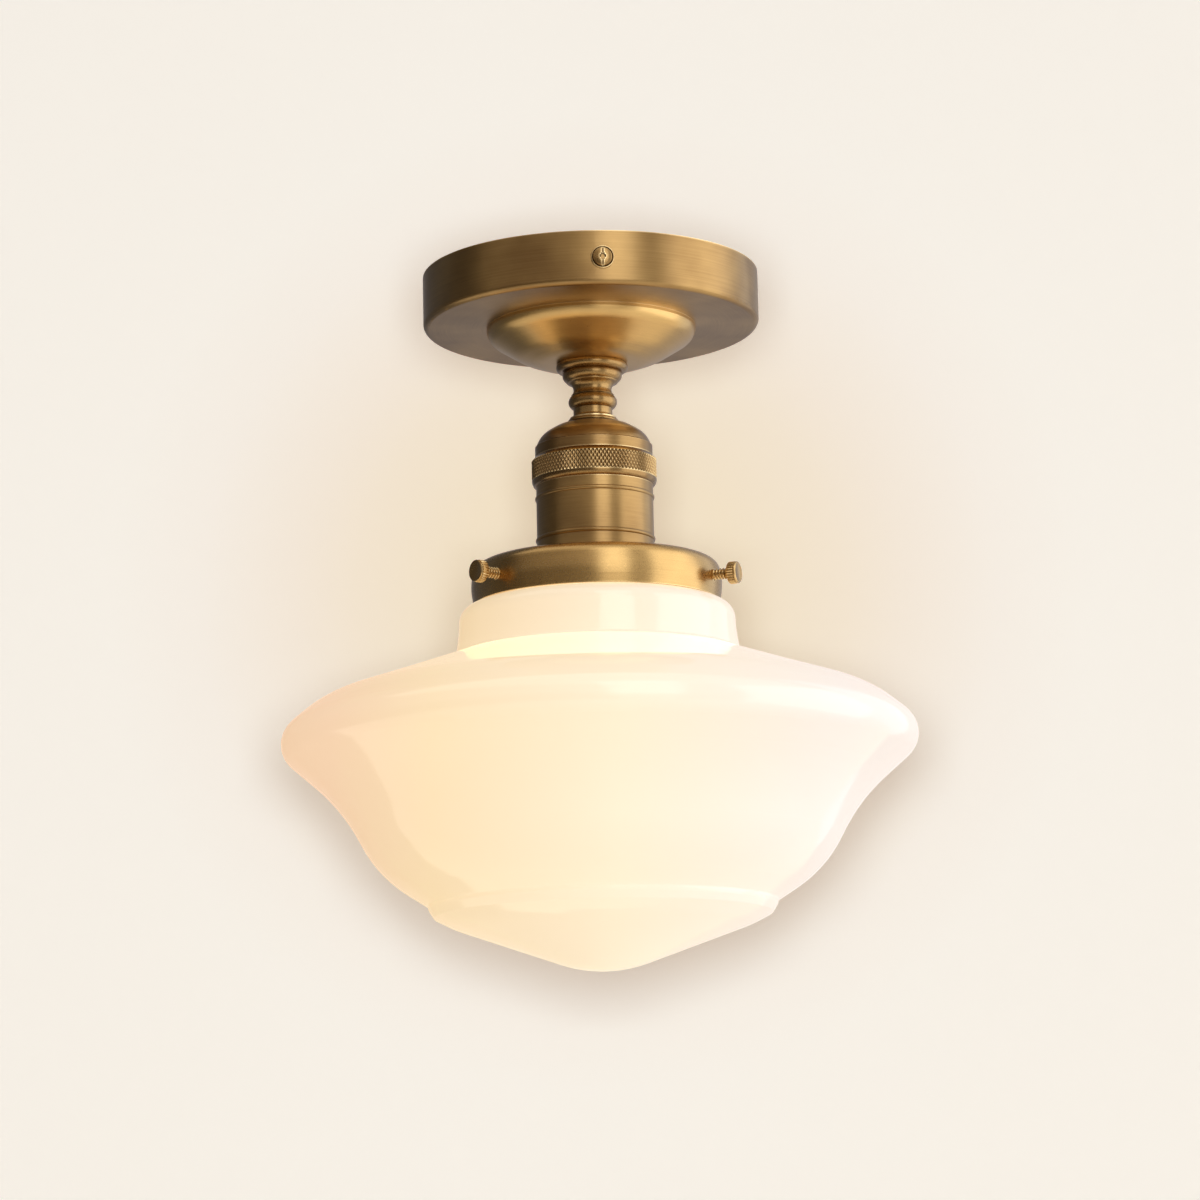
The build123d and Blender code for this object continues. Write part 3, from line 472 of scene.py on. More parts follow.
def plain_finish(name, light, dark, scale_mm, roughness, metallic=0.0, stripe=None, **values):
    """Surface whose tone, roughness and height vary over a real grain size, in mm.

    A stripe, where one is given, runs along the top and the bottom of the piece.
    """
    material, tree, output = new_material(name)
    place = add_node(tree, "ShaderNodeTexCoord").outputs["Object"]
    grain = add_node(
        tree, "ShaderNodeTexNoise", {"Scale": 1 / (scale_mm * MM), "Detail": 3.0}, {"Vector": place}
    )
    tone = add_node(
        tree, "ShaderNodeValToRGB", links={"Fac": grain.outputs["Fac"]},
        stops=((0.3, dark), (0.7, light)),
    ).outputs["Color"]
    if stripe:
        normal = add_node(tree, "ShaderNodeNewGeometry").outputs["Normal"]
        height = add_node(tree, "ShaderNodeSeparateXYZ", links={"Vector": normal}).outputs["Z"]
        upright = add_node(tree, "ShaderNodeMath", links={0: height}, operation="ABSOLUTE")
        on_stripe = add_node(
            tree, "ShaderNodeMapRange", {"From Min": 0.55, "From Max": 0.65},
            {"Value": upright.outputs[0]},
        )
        tone = add_node(
            tree, "ShaderNodeMix", {7: linear(stripe)}, {0: on_stripe.outputs[0], 6: tone},
            data_type="RGBA",
        ).outputs[2]
    rough = add_node(
        tree,
        "ShaderNodeMapRange",
        {
            "From Min": 0.3,
            "From Max": 0.7,
            "To Min": roughness - ROUGHNESS_SPREAD,
            "To Max": roughness + ROUGHNESS_SPREAD,
        },
        {"Value": grain.outputs["Fac"]},
    )
    bump = add_node(
        tree, "ShaderNodeBump", {"Strength": 0.3, "Distance": GRAIN_HEIGHT},
        {"Height": grain.outputs["Fac"]},
    )
    surface = add_node(
        tree,
        "ShaderNodeBsdfPrincipled",
        {"Metallic": metallic, **values},
        {"Base Color": tone, "Roughness": rough.outputs[0], "Normal": bump.outputs[0]},
    )
    tree.links.new(surface.outputs[0], output.inputs["Surface"])
    return material


# ---------------------------------------------------------------- pieces
def knurled_band(name):
    """Clamp ring: chamfered top, diamond knurl down to its rounded foot, and a plain bore."""
    lo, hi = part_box("knurled_ring")
    reach, top, foot = hi.x, hi.z, lo.z
    cap_reach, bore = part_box("socket_cap")[1].x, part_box("lampholder_insert")[1].x
    knurl_top, knurl_foot, bore_foot = top - 1.5 * MM, foot + 2.2 * MM, foot + 1 * MM
    round_height, round_depth, round_steps = 2.4 * MM, 1.3 * MM, 8
    edge, cap_gap, below_peaks = 0.1 * MM, 0.05 * MM, 0.08 * MM
    columns, rows, depth = sizes().knurl_columns, sizes().knurl_rows, sizes().knurl_depth
    half_columns = 2 * columns

    def barrel(level):
        """Radius over the peaks: straight, then drawn in over the rounded foot."""
        into = min(max((foot + round_height - level) / round_height, 0), 1)
        return reach - round_depth * (1 - (1 - into**2) ** 0.5)

    points, faces = [], []
    for row in range(rows + 1):
        level = knurl_top + (knurl_foot - knurl_top) * row / rows
        for column in range(half_columns):
            radius = barrel(level) - (depth if (column + row) % 2 else 0)
            turn = pi * column / columns
            points.append((radius * cos(turn), radius * sin(turn), level))
    for row in range(rows):
        for column in range(half_columns):
            left, right = row * half_columns + column, row * half_columns + (column + 1) % half_columns
            left_below, right_below = left + half_columns, right + half_columns
            if (column + row) % 2:
                faces += [(left, right_below, right), (left, left_below, right_below)]
            else:
                faces += [(left, left_below, right), (right, left_below, right_below)]
    band = mesh_piece(name + "_band", points, faces)
    sides = half_columns
    collar = skinned(
        name + "_collar",
        [ring(bore, bore_foot, sides), ring(bore, top, sides), ring(cap_reach + cap_gap, top, sides),
         ring(cap_reach + 2 * edge, top - edge, sides), ring(reach - edge, knurl_top + edge, sides),
         ring(reach, knurl_top, sides), ring(reach - depth, knurl_top - edge, sides)],
    )
    rounding = [knurl_foot + (foot - knurl_foot) * step / round_steps for step in range(round_steps + 1)]
    foot_ring = skinned(
        name + "_foot",
        [ring(barrel(knurl_foot) - depth, knurl_foot + edge, sides)]
        + [ring(barrel(level) - below_peaks, level, sides) for level in rounding]
        + [ring(bore, foot, sides), ring(bore, bore_foot, sides)],
    )
    return joined(name, [band, collar, foot_ring], KNURL_ANGLE)


def thread_rings(start, end, crest, depth, pitch, sides, steps, rolled=False):
    """Rings of a right-hand thread, run out at both ends, with so many steps to a turn.

    It is cut with flat crests, or rolled in sheet metal.
    """
    count = max(2, round((end - start) / pitch * steps))

    def flank_at(phase):
        """0 at the thread's root and 1 on its crest."""
        if rolled:
            return 0.5 - 0.5 * cos(2 * pi * phase)
        return min(max(1.5 - 4.4 * abs(phase - 0.5), 0), 1)

    def radius_at(level):
        def radius(turn):
            flank = flank_at(((level - start) / pitch - turn / (2 * pi)) % 1)
            run_out = min((level - start) / pitch, (end - level) / pitch, 1)
            return crest - depth * (1 - flank) * max(run_out, 0)

        return radius

    levels = [start + (end - start) * step / count for step in range(count + 1)]
    return [ring(radius_at(level), level, sides) for level in levels]


def thumbscrew(name, node):
    """Thumbscrew: coarse thread, straight-knurled head with a plain rim and a flat end."""
    lo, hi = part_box(node)
    centre = (lo + hi) / 2
    direction = Vector((centre.x, centre.y, 0)).normalized()
    tip, end = reach_along(node, direction)
    shank, head, sides = 2.0 * MM, 3.9 * MM, 168
    length, head_length, chamfer = end - tip, 3.6 * MM, 0.7 * MM
    seat = length - head_length
    teeth, tooth = sizes().head_teeth, 0.3 * MM
    # the plain rim and the end: how far in from the head's radius and back from its end, in mm
    rim = ((0.3, 0.9), (0.12, 0.72), (0.05, 0.55), (0.16, 0.22), (0.5, 0.02), (0.75, 0), (0.95, 0.08))

    def fluted(turn):
        return head - tooth * (0.5 - 0.5 * cos(teeth * turn)) ** 0.6

    rings = [ring(0.2 * MM, 0, sides), ring(shank - chamfer, 0, sides)]
    rings += thread_rings(
        chamfer, seat, shank, sizes().thread_depth, sizes().thread_pitch, sides, steps=9
    )
    rings += [
        ring(shank + 0.05 * MM, seat, sides),
        ring(head - tooth - 0.45 * MM, seat, sides),
        ring(head - tooth - 0.1 * MM, seat + 0.12 * MM, sides),
        ring(fluted, seat + 0.45 * MM, sides),
        ring(fluted, length - 1.0 * MM, sides),
    ]
    rings += [ring(head - inset * MM, length - back * MM, sides) for inset, back in rim]
    rings.append(ring(0.3 * MM, length - 0.05 * MM, sides))
    place = facing(direction * tip + Vector((0, 0, centre.z)), direction)
    return skinned(name, rings, place, "first last")


def slab(name, width, height, depth, place):
    """Cutter with square corners, centred on the local origin and sunk from the local Z axis's zero."""
    w, h = width / 2, height / 2
    corners = [(-w, -h), (w, -h), (w, h), (-w, h)]
    rings = [[(x, y, level) for x, y in corners] for level in (-depth, depth)]
    return skinned(name, rings, place, "first last")


# half of the canopy screws' outline: radius and height over the canopy's wall, in mm
CANOPY_SCREW_PROFILE = (
    (0.4, -0.6), (3.9, -0.6), (4.1, 0.05), (4.08, 0.3), (3.95, 0.48), (3.75, 0.52), (3.58, 0.42),
    (3.5, 0.22), (3.42, 0.2), (3.34, 0.36), (3.28, 0.75), (3.1, 1.05), (2.6, 1.28), (1.6, 1.44),
    (0.5, 1.5),
)
# a domed head's outline: shares of its radius and of its height
DOMED_HEAD = ((1, 0), (1, 0.45), (0.94, 0.75), (0.74, 0.97), (0.3, 1))


def canopy_screw(name, place):
    """Pan-headed screw with a washer rim and a slot combined with a cross."""
    slot_width, slot_depth, cross_width, cross_depth = 0.7 * MM, 0.8 * MM, 1.05 * MM, 1.1 * MM
    cross_length, core_width, sides = 2.3 * MM, 1.3 * MM, 72
    rings = [ring(radius * MM, height * MM, sides) for radius, height in CANOPY_SCREW_PROFILE]
    head = skinned(name, rings, place, "first last")
    widest, highest = (max(measures) * MM for measures in zip(*CANOPY_SCREW_PROFILE))
    top = place @ Matrix.Translation((0, 0, highest))
    return carved(head, [
        slab(name + "_slot", slot_width, 2.4 * widest, slot_depth, top),
        slab(name + "_cross", cross_length, cross_width, cross_depth, top),
        slab(name + "_core", core_width, cross_length, cross_depth, top),
    ])


def slotted_screw(name, seat, outward, head_radius, head_height, thread_radius, length):
    """Small screw with its head's underside at a seat: domed, slotted head and a cut thread, in mm."""
    head, height, shank = head_radius * MM, head_height * MM, thread_radius * MM
    start, plain, sides = -length * MM, 0.1 * MM, 48
    depth, pitch = 0.16 * shank, 0.4 * shank
    rings = [ring(0.2 * MM, start, sides), ring(0.8 * shank, start, sides)]
    rings += thread_rings(start + plain, -plain, shank, depth, pitch, sides, steps=5)
    rings.append(ring(shank, 0, sides))
    rings += [ring(wide * head, high * height, sides) for wide, high in DOMED_HEAD]
    place = facing(seat, outward)
    screw = skinned(name, rings, place, "first last")
    top = place @ Matrix.Translation((0, 0, height))
    return carved(screw, [slab(name + "_slot", 0.3 * head, 2.4 * head, 0.4 * height, top)])


def small_screws():
    """The screws inside the canopy and the lampholder, each with the node that it stands for."""
    up, down = Vector((0, 0, 1)), Vector((0, 0, -1))
    # head radius, head height and thread radius, in mm
    terminal, fixing, earth, pole = (2.7, 1.8, 1.5), (2.7, 1.8, 1.5), (4.1, 2.6, 2.0), (1.8, 1.2, 1.75)
    pieces = []
    lo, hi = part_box("lampholder_screws")
    for number, side in enumerate((-1, 1), start=1):
        seat = Vector((side * (hi.x - terminal[0] * MM), 0, hi.z - terminal[1] * MM))
        screw = slotted_screw(f"lampholder_screw_{number}", seat, up, *terminal, length=5.5)
        pieces.append((screw, "lampholder_screws"))
    for node, measures in (("block_fixing_screw", fixing), ("earth_screw", earth)):
        lo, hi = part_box(node)
        seat = Vector((0, (lo.y + hi.y) / 2, lo.z + measures[1] * MM))
        length = (hi.z - lo.z) / MM - measures[1]
        pieces.append((slotted_screw("slotted_" + node, seat, down, *measures, length=length), node))
    lo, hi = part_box("terminal_block_screws")
    radius = pole[0] * MM
    for column in range(3):
        for row, y in enumerate((lo.y + radius, hi.y - radius)):
            x = lo.x + radius + column * (hi.x - lo.x - 2 * radius) / 2
            seat = Vector((x, y, lo.z + pole[1] * MM))
            screw = slotted_screw(f"pole_screw_{2 * column + row + 1}", seat, down, *pole, length=2.8)
            pieces.append((screw, "terminal_block_screws"))
    return pieces


def lamp_cap(name):
    """The lamp's screw cap: plain skirt over the glass, rolled thread and a rounded shoulder."""
    lo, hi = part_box("bulb_cap")
    foot, top, reach, pitch = lo.z, hi.z, hi.x, sizes().lamp_pitch
    sheet, pin, depth, sides = 0.5 * MM, 0.3 * MM, 0.9 * MM, 96
    skirt, thread_end = foot + 8.3 * MM, top - 1.2 * MM
    skirt_bore, thread_bore = reach - sheet, reach - depth - 0.4 * MM
    # the shoulder: how far in from the cap's radius and down from its top, in mm
    shoulder = ((0.25, 0.6), (0.8, 0.12), (1.5, 0))
    rings = [
        ring(pin, top - sheet, sides), ring(thread_bore, top - sheet, sides),
        ring(thread_bore, skirt + 0.3 * MM, sides), ring(skirt_bore, skirt - 0.1 * MM, sides),
        ring(skirt_bore, foot, sides), ring(reach, foot, sides), ring(reach, skirt, sides),
    ]
    rings += thread_rings(skirt, thread_end, reach, depth, pitch, sides, steps=16, rolled=True)
    rings += [ring(reach - inset * MM, top - drop * MM, sides) for inset, drop in shoulder]
    rings.append(ring(pin, top, sides))
    return skinned(name, rings, ends="first last")


def contact_shell(name):
    """Sheet sleeve of the lampholder, with a thread rolled into its bore, clear of the lamp's cap."""
    lo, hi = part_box("lamp_contact_shell")
    outside, foot, top, pitch = hi.x, lo.z, hi.z, sizes().lamp_pitch
    wall, depth, lip, sides = 0.5 * MM, 0.55 * MM, 0.8 * MM, 96
    thread_start, thread_end = foot + 1.5 * MM, top - 2 * MM
    bore, lip_bore = outside - wall, outside - 3 * wall
    rings = [ring(outside, top, sides), ring(outside, foot, sides), ring(bore, foot, sides)]
    rings += thread_rings(thread_start, thread_end, bore, depth, pitch, sides, steps=16, rolled=True)
    rings += [
        ring(bore, top - lip, sides), ring(lip_bore, top - lip, sides), ring(lip_bore, top, sides),
        ring(outside, top, sides),
    ]
    return skinned(name, rings)


# ---------------------------------------------------------------- operators
class CEILINGLIGHT_OT_turned_brass(bpy.types.Operator):
    """Finishes the spun and turned brass: canopy, dome cup, spindle, lampholder and gallery"""

    bl_idname = "ceilinglight.turned_brass"
    bl_label = "Turned Brass"

    def execute(self, context):
        # the more wear, the browner; each part's wear is set to how bright it looks, so the lighter and
        # darker copies are partly painted light and shade
        # the dome cup is lightened as a painted reflection of the bright glass and wall below it
        for name, wear, roughness, nodes in (
            ("Aged Spun Brass", 0.72, 0.33, ("canopy", "socket_shell")),
            ("Dark Spun Brass", 0.88, 0.33, ("socket_cap",)),
            ("Bright Spun Brass", 0.32, 0.28, ("gallery",)),
            ("Spun Brass With Painted Reflection", 0.05, 0.3, ("dome_cup",)),
            ("Turned Brass", 0.85, 0.28, ("check_ring", "spindle", "shade_ring", "centre_contact")),
        ):
            material = satin_brass(name, wear, roughness)
            for node in nodes:
                dress(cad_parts[node], material)
        return {"FINISHED"}


class CEILINGLIGHT_OT_knurled_ring(bpy.types.Operator):
    """Makes the lampholder's diamond-knurled clamp ring"""

    bl_idname = "ceilinglight.knurled_ring"
    bl_label = "Knurled Ring"

    def execute(self, context):
        piece = knurled_band("diamond_knurled_ring")
        dress(piece, satin_brass("Knurled Brass", 0.9, 0.24, lathe_lines=False))
        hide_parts("knurled_ring")
        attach(piece, "fixture")
        return {"FINISHED"}


class CEILINGLIGHT_OT_thumbscrews(bpy.types.Operator):
    """Makes the three thumbscrews that hold the shade"""

    bl_idname = "ceilinglight.thumbscrews"
    bl_label = "Thumbscrews"

    def execute(self, context):
        brass = satin_brass("Machined Brass", 0.4, 0.22, lathe_lines=False)
        for node in ("thumbscrew_1", "thumbscrew_2", "thumbscrew_3"):
            piece = dress(thumbscrew("knurled_" + node, node), brass)
            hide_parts(node)
            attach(piece, node)
        return {"FINISHED"}


class CEILINGLIGHT_OT_canopy_screws(bpy.types.Operator):
    """Makes the canopy's two side screws, with their combined slot and cross recess"""

    bl_idname = "ceilinglight.canopy_screws"
    bl_label = "Canopy Screws"

    def execute(self, context):
        brass = satin_brass("Bronzed Brass Screw", 0.8, 0.28, lathe_lines=False)
        lo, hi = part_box("canopy_side_screws")
        level, seat = (lo.z + hi.z) / 2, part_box("canopy")[1].y
        for name, side in (("front", -1), ("back", 1)):
            place = facing(Vector((0, side * seat, level)), Vector((0, side, 0)))
            piece = dress(canopy_screw("canopy_screw_" + name, place), brass)
            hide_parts("canopy_side_screws")
            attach(piece, "fixture")
        return {"FINISHED"}


class CEILINGLIGHT_OT_shade(bpy.types.Operator):
    """Finishes the opal glass shade"""

    bl_idname = "ceilinglight.shade"
    bl_label = "Opal Glass Shade"

    def execute(self, context):
        dress(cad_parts["shade"], opal_glass())
        return {"FINISHED"}


class CEILINGLIGHT_OT_inner_parts(bpy.types.Operator):
    """Finishes what is inside: bracket, fasteners, wiring, lampholder insert and lamp"""

    bl_idname = "ceilinglight.inner_parts"
    bl_label = "Inner Parts"

    def execute(self, context):
        # cool grey plating over pressed steel, half bright, with faint cloudy patches
        zinc = plain_finish("Zinc Plated Steel", "#C6C9CB", "#B3B6B9", 1.5, 0.36, metallic=1.0)
        # fired glaze: warm white, with a wet shine that hardly breaks up
        porcelain = plain_finish("Glazed Porcelain", "#F1EFE8", "#E6E2D8", 8.0, 0.12)
        # sheet drawn and rolled into a thread: pale, with soft bright reflections
        aluminium = plain_finish("Drawn Aluminium", "#D0D0D1", "#B4B4B6", 1.5, 0.3, metallic=1.0)
        # a chilled drop: darker than the cap and dull
        solder = plain_finish("Dull Solder", "#A2A3A5", "#85868A", 1.0, 0.45, metallic=1.0)
        # glass fused round the contact: nearly black, with a hard shine
        vitrite = plain_finish("Black Vitrite Glass", "#17171A", "#0B0B0D", 2.0, 0.1)
        # the mould's fine texture leaves it matt and off-white
        polyamide = plain_finish("Moulded Polyamide", "#EFEDE6", "#E4E1D8", 0.8, 0.5)
        for name in ("mounting_bracket", "nipple", "nipple_nuts", "lock_washer"):
            dress(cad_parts[name], zinc)
        for piece, node in small_screws():
            dress(piece, zinc)
            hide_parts(node)
            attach(piece, "fixture")
        dress(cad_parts["lampholder_insert"], porcelain)
        cap = dress(lamp_cap("threaded_lamp_cap"), aluminium)
        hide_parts("bulb_cap")
        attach(cap, "bulb")
        pressed = satin_brass("Pressed Brass", 0.6, 0.26)
        contact = dress(contact_shell("threaded_contact_shell"), pressed)
        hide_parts("lamp_contact_shell")
        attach(contact, "fixture")
        dress(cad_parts["bulb_contact"], solder)
        dress(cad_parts["bulb_insulator"], vitrite)
        dress(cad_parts["terminal_block"], polyamide)
        # etched on its inside: it glows evenly, and its smooth outside keeps a soft shine
        frosted = plain_finish(
            "Frosted Lamp Glass", "#FFF3DC", "#FBEACB", 4.0, 0.35,
            **{"Emission Color": linear("#FFE3B0"), "Emission Strength": 1.2},
        )
        dress(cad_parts["bulb_glass"], frosted)
        # drawn silicone: the wires' own colours under a soft, slightly waxy skin
        for name, node, light, dark, stripe in (
            ("Brown Silicone Sleeve", "lead_live", "#6A3A22", "#4F2A18", None),
            ("Blue Silicone Sleeve", "lead_neutral", "#2F5FA8", "#244B88", None),
            ("Green and Yellow Silicone Sleeve", "lead_earth", "#4E9A35", "#3E7F2A", "#E3C93A"),
        ):
            dress(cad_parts[node], plain_finish(name, light, dark, 1.2, 0.55, stripe=stripe))
        return {"FINISHED"}


class CEILINGLIGHT_OT_stage(bpy.types.Operator):
    """Sets the camera, the backdrop, the floor and the studio light"""

    bl_idname = "ceilinglight.stage"
    bl_label = "Stage"

    def execute(self, context):
        set_camera()
        set_world()
        set_backdrop()
        set_lights()
        return {"FINISHED"}


# ---------------------------------------------------------------- stage
CAMERA_TURN = -4.3  # degrees about the lamp's axis, towards -X
CAMERA_RISE = 10.67  # degrees that the camera looks up
CAMERA_ROLL = 1.23
CAMERA_DISTANCE = 1314 * MM
CAMERA_TARGET = Vector((1.08 * MM, 0, -117.86 * MM))  # before the turn about the lamp's axis
FOCAL_PIXELS = 3722
PICTURE_PIXELS = 1200
SENSOR_WIDTH = 36  # millimetres, as Blender's cameras have it
WALL_BEHIND = 0.6
WALL_SIZE = 3.0
FLOOR_LEVEL = -1.1
FLOOR_SIZE = 4.0
FLOOR_GRAIN = 60 * MM
HALO_REACH = 251 * MM  # how far round the view's centre the wall is painted warmer, as the lamp's glow on it
LAMP_DISTANCE = 1.9
CARD_DISTANCE = 2.5
WALL_LAMP_AHEAD = 1.2
WALL_LAMP_RISE = 0.7 - CAMERA_RISE  # degrees: a little over the camera
WALL_LAMP_WIDTH = 70 * MM
WALL_LAMP_SHARE = 0.424  # share of the wall's brightness that comes from its own lamp
WALL_LAMP_TONE = "#E1F3FF"  # daylight: where the light blocks it, the shadow is left warm
WORLD_SHARE = 0.30
FLOOR_SHARE = 0.55  # share of the floor's brightness that no lamp gives it


def set_camera():
    """Camera at the photograph's place: low in front, looking up."""
    rise, roll = radians(CAMERA_RISE), radians(CAMERA_ROLL)
    ahead = Vector((0, cos(rise), sin(rise)))
    level = Vector((1, 0, 0))
    above = Vector((0, -sin(rise), cos(rise)))
    right = cos(roll) * level - sin(roll) * above
    up = sin(roll) * level + cos(roll) * above
    axes = Matrix((right, up, -ahead)).transposed().to_4x4()
    place = Matrix.Translation(CAMERA_TARGET - ahead * CAMERA_DISTANCE)
    data = bpy.data.cameras.new("camera")
    data.sensor_fit = "HORIZONTAL"
    data.sensor_width = SENSOR_WIDTH
    data.lens = SENSOR_WIDTH * FOCAL_PIXELS / PICTURE_PIXELS
    data.clip_start, data.clip_end = 0.05, 20
    camera = bpy.data.objects.new("camera", data)
    camera.matrix_world = Matrix.Rotation(radians(CAMERA_TURN), 4, "Z") @ place @ axes
    bpy.context.scene.collection.objects.link(camera)
    bpy.context.scene.camera = camera


def sees_background(tree):
    """1 for rays that show the background: straight, mirrored or through glass."""
    path = add_node(tree, "ShaderNodeLightPath").outputs
    both = add_node(
        tree, "ShaderNodeMath", links={0: path["Is Camera Ray"], 1: path["Is Glossy Ray"]},
        operation="ADD",
    )
    return add_node(
        tree,
        "ShaderNodeMath",
        links={0: both.outputs[0], 1: path["Is Transmission Ray"]},
        operation="ADD",
        use_clamp=True,
    ).outputs[0]


def set_world():
    """Cream all round for the eye, with a dimmer neutral light on the object."""
    world = bpy.data.worlds.new("studio")
    bpy.context.scene.world = world
    world.use_nodes = True
    tree = world.node_tree
    tree.nodes.clear()
    output = add_node(tree, "ShaderNodeOutputWorld")
    shown = add_node(tree, "ShaderNodeBackground", {"Color": linear("#F6EFE5"), "Strength": 1.0})
    light = add_node(tree, "ShaderNodeBackground", {"Color": linear("#F4F2F4"), "Strength": WORLD_SHARE})
    mix = add_node(
        tree,
        "ShaderNodeMixShader",
        links={0: sees_background(tree), 1: light.outputs[0], 2: shown.outputs[0]},
    )
    tree.links.new(mix.outputs[0], output.inputs["Surface"])


def panel(name, width, height, place, towards):
    """Flat rectangle centred on a place, whose face looks towards another."""
    w, h = width / 2, height / 2
    obj = mesh_piece(name, [(-w, -h, 0), (w, -h, 0), (w, h, 0), (-w, h, 0)], [(0, 1, 2, 3)])
    obj.location = place
    obj.rotation_mode = "QUATERNION"
    obj.rotation_quaternion = (towards - place).to_track_quat("Z", "Y")
    return obj


def around(turn, rise, distance, centre):
    """Place at a turn from the camera's side towards +X and a rise above the level, in degrees."""
    t, e = radians(turn + CAMERA_TURN), radians(rise)
    return centre + distance * Vector((sin(t) * cos(e), -cos(t) * cos(e), sin(e)))


def view_centre():
    """The place that the camera looks at, on the lamp's axis."""
    return Matrix.Rotation(radians(CAMERA_TURN), 3, "Z") @ CAMERA_TARGET


def backdrop_material():
    """Painted wall in cream, with the lamp's warm glow painted on near the light, which keeps the soft
    shadow.
    """
    material, tree, output = new_material("Cream Painted Wall")
    place = add_node(tree, "ShaderNodeTexCoord").outputs["Object"]
    away = add_node(tree, "ShaderNodeVectorMath", links={0: place}, operation="LENGTH")
    # painted light: a warm glow round the view's centre, fading to plain cream further out
    halo = add_node(
        tree, "ShaderNodeMapRange", {"From Max": HALO_REACH}, {"Value": away.outputs["Value"]}
    )
    colour = add_node(
        tree, "ShaderNodeValToRGB", links={"Fac": halo.outputs[0]},
        stops=(
            (0.3, "#EFE0C6"), (0.5, "#F0E3CF"), (0.62, "#F1E6D7"), (0.82, "#F3ECE2"),
            (1.0, "#F4EFE6"),
        ),
    ).outputs["Color"]
    # the wall lamp falls off from the middle outwards, and the paint's own tone makes up for it
    spread = WALL_BEHIND + WALL_LAMP_AHEAD
    slant = add_node(
        tree, "ShaderNodeMath", {1: 1 / spread}, {0: away.outputs["Value"]}, operation="MULTIPLY"
    )
    square = add_node(tree, "ShaderNodeMath", {1: 2.0}, {0: slant.outputs[0]}, operation="POWER")
    longer = add_node(tree, "ShaderNodeMath", {1: 1.0}, {0: square.outputs[0]}, operation="ADD")
    falloff = add_node(tree, "ShaderNodeMath", {1: -2.0}, {0: longer.outputs[0]}, operation="POWER")
    from_lamp = add_node(
        tree,
        "ShaderNodeVectorMath",
        {0: [WALL_LAMP_SHARE * channel for channel in linear(WALL_LAMP_TONE)[:3]]},
        {"Scale": falloff.outputs[0]},
        operation="SCALE",
    )
    rest = add_node(
        tree, "ShaderNodeVectorMath", {0: [1 - WORLD_SHARE] * 3}, {1: from_lamp.outputs[0]},
        operation="SUBTRACT",
    )
    own = add_node(
        tree, "ShaderNodeVectorMath", links={0: colour, 1: rest.outputs[0]}, operation="MULTIPLY"
    )
    lit = add_node(tree, "ShaderNodeBsdfDiffuse", links={"Color": colour})
    shown = add_node(tree, "ShaderNodeEmission", links={"Color": own.outputs[0]})
    both = add_node(tree, "ShaderNodeAddShader", links={0: lit.outputs[0], 1: shown.outputs[0]})
    plain = add_node(tree, "ShaderNodeBsdfDiffuse", {"Color": linear("#CFC8BC")})
    seen = add_node(
        tree,
        "ShaderNodeMixShader",
        links={0: sees_background(tree), 1: plain.outputs[0], 2: both.outputs[0]},
    )
    # seen from behind, the wall is clear, so that the object shows from every side
    back = add_node(tree, "ShaderNodeNewGeometry").outputs["Backfacing"]
    clear = add_node(tree, "ShaderNodeBsdfTransparent")
    mix = add_node(
        tree, "ShaderNodeMixShader", links={0: back, 1: seen.outputs[0], 2: clear.outputs[0]}
    )
    tree.links.new(mix.outputs[0], output.inputs["Surface"])
    return material


def floor_material():
    """Pale painted floor far below, which keeps a shadow and shows eye and mirrors its full colour."""
    material, tree, output = new_material("Pale Painted Floor")
    place = add_node(tree, "ShaderNodeTexCoord").outputs["Object"]
    grain = add_node(
        tree, "ShaderNodeTexNoise", {"Scale": 1 / FLOOR_GRAIN, "Detail": 2.0}, {"Vector": place}
    )
    colour = add_node(
        tree, "ShaderNodeValToRGB", links={"Fac": grain.outputs["Fac"]},
        stops=((0.3, "#F0E9DE"), (0.7, "#F3ECE1")),
    ).outputs["Color"]
    lit = add_node(tree, "ShaderNodeBsdfDiffuse", links={"Color": colour})
    shown = add_node(tree, "ShaderNodeEmission", {"Strength": FLOOR_SHARE}, {"Color": colour})
    both = add_node(tree, "ShaderNodeAddShader", links={0: lit.outputs[0], 1: shown.outputs[0]})
    mix = add_node(
        tree,
        "ShaderNodeMixShader",
        links={0: sees_background(tree), 1: lit.outputs[0], 2: both.outputs[0]},
    )
    tree.links.new(mix.outputs[0], output.inputs["Surface"])
    return material


def set_backdrop():
    """Wall close behind the light and a pale floor well below it."""
    centre = view_centre()
    behind = around(180, CAMERA_RISE, WALL_BEHIND, centre)
    wall = panel("backdrop", WALL_SIZE, WALL_SIZE, behind, centre)
    dress(wall, backdrop_material())
    floor = panel("floor", FLOOR_SIZE, FLOOR_SIZE, Vector((0, 0, FLOOR_LEVEL)), Vector((0, 0, 1)))
    dress(floor, floor_material())


def card(name, tones, strength, width, height, place, towards):
    """Studio panel that only mirrors see, with its tones running along its own X axis."""
    obj = panel(name, width, height, place, towards)
    material, tree, output = new_material(name)
    axes = add_node(
        tree, "ShaderNodeSeparateXYZ",
        links={"Vector": add_node(tree, "ShaderNodeTexCoord").outputs["Object"]},
    )
    across = add_node(
        tree, "ShaderNodeMapRange", {"From Min": -width / 2, "From Max": width / 2},
        {"Value": axes.outputs["X"]},
    )
    tone = add_node(tree, "ShaderNodeValToRGB", links={"Fac": across.outputs[0]}, stops=tones)
    glow = add_node(
        tree, "ShaderNodeEmission", {"Strength": strength}, {"Color": tone.outputs["Color"]}
    )
    tree.links.new(glow.outputs[0], output.inputs["Surface"])
    dress(obj, material)
    obj.visible_camera = obj.visible_diffuse = obj.visible_shadow = obj.visible_transmission = False


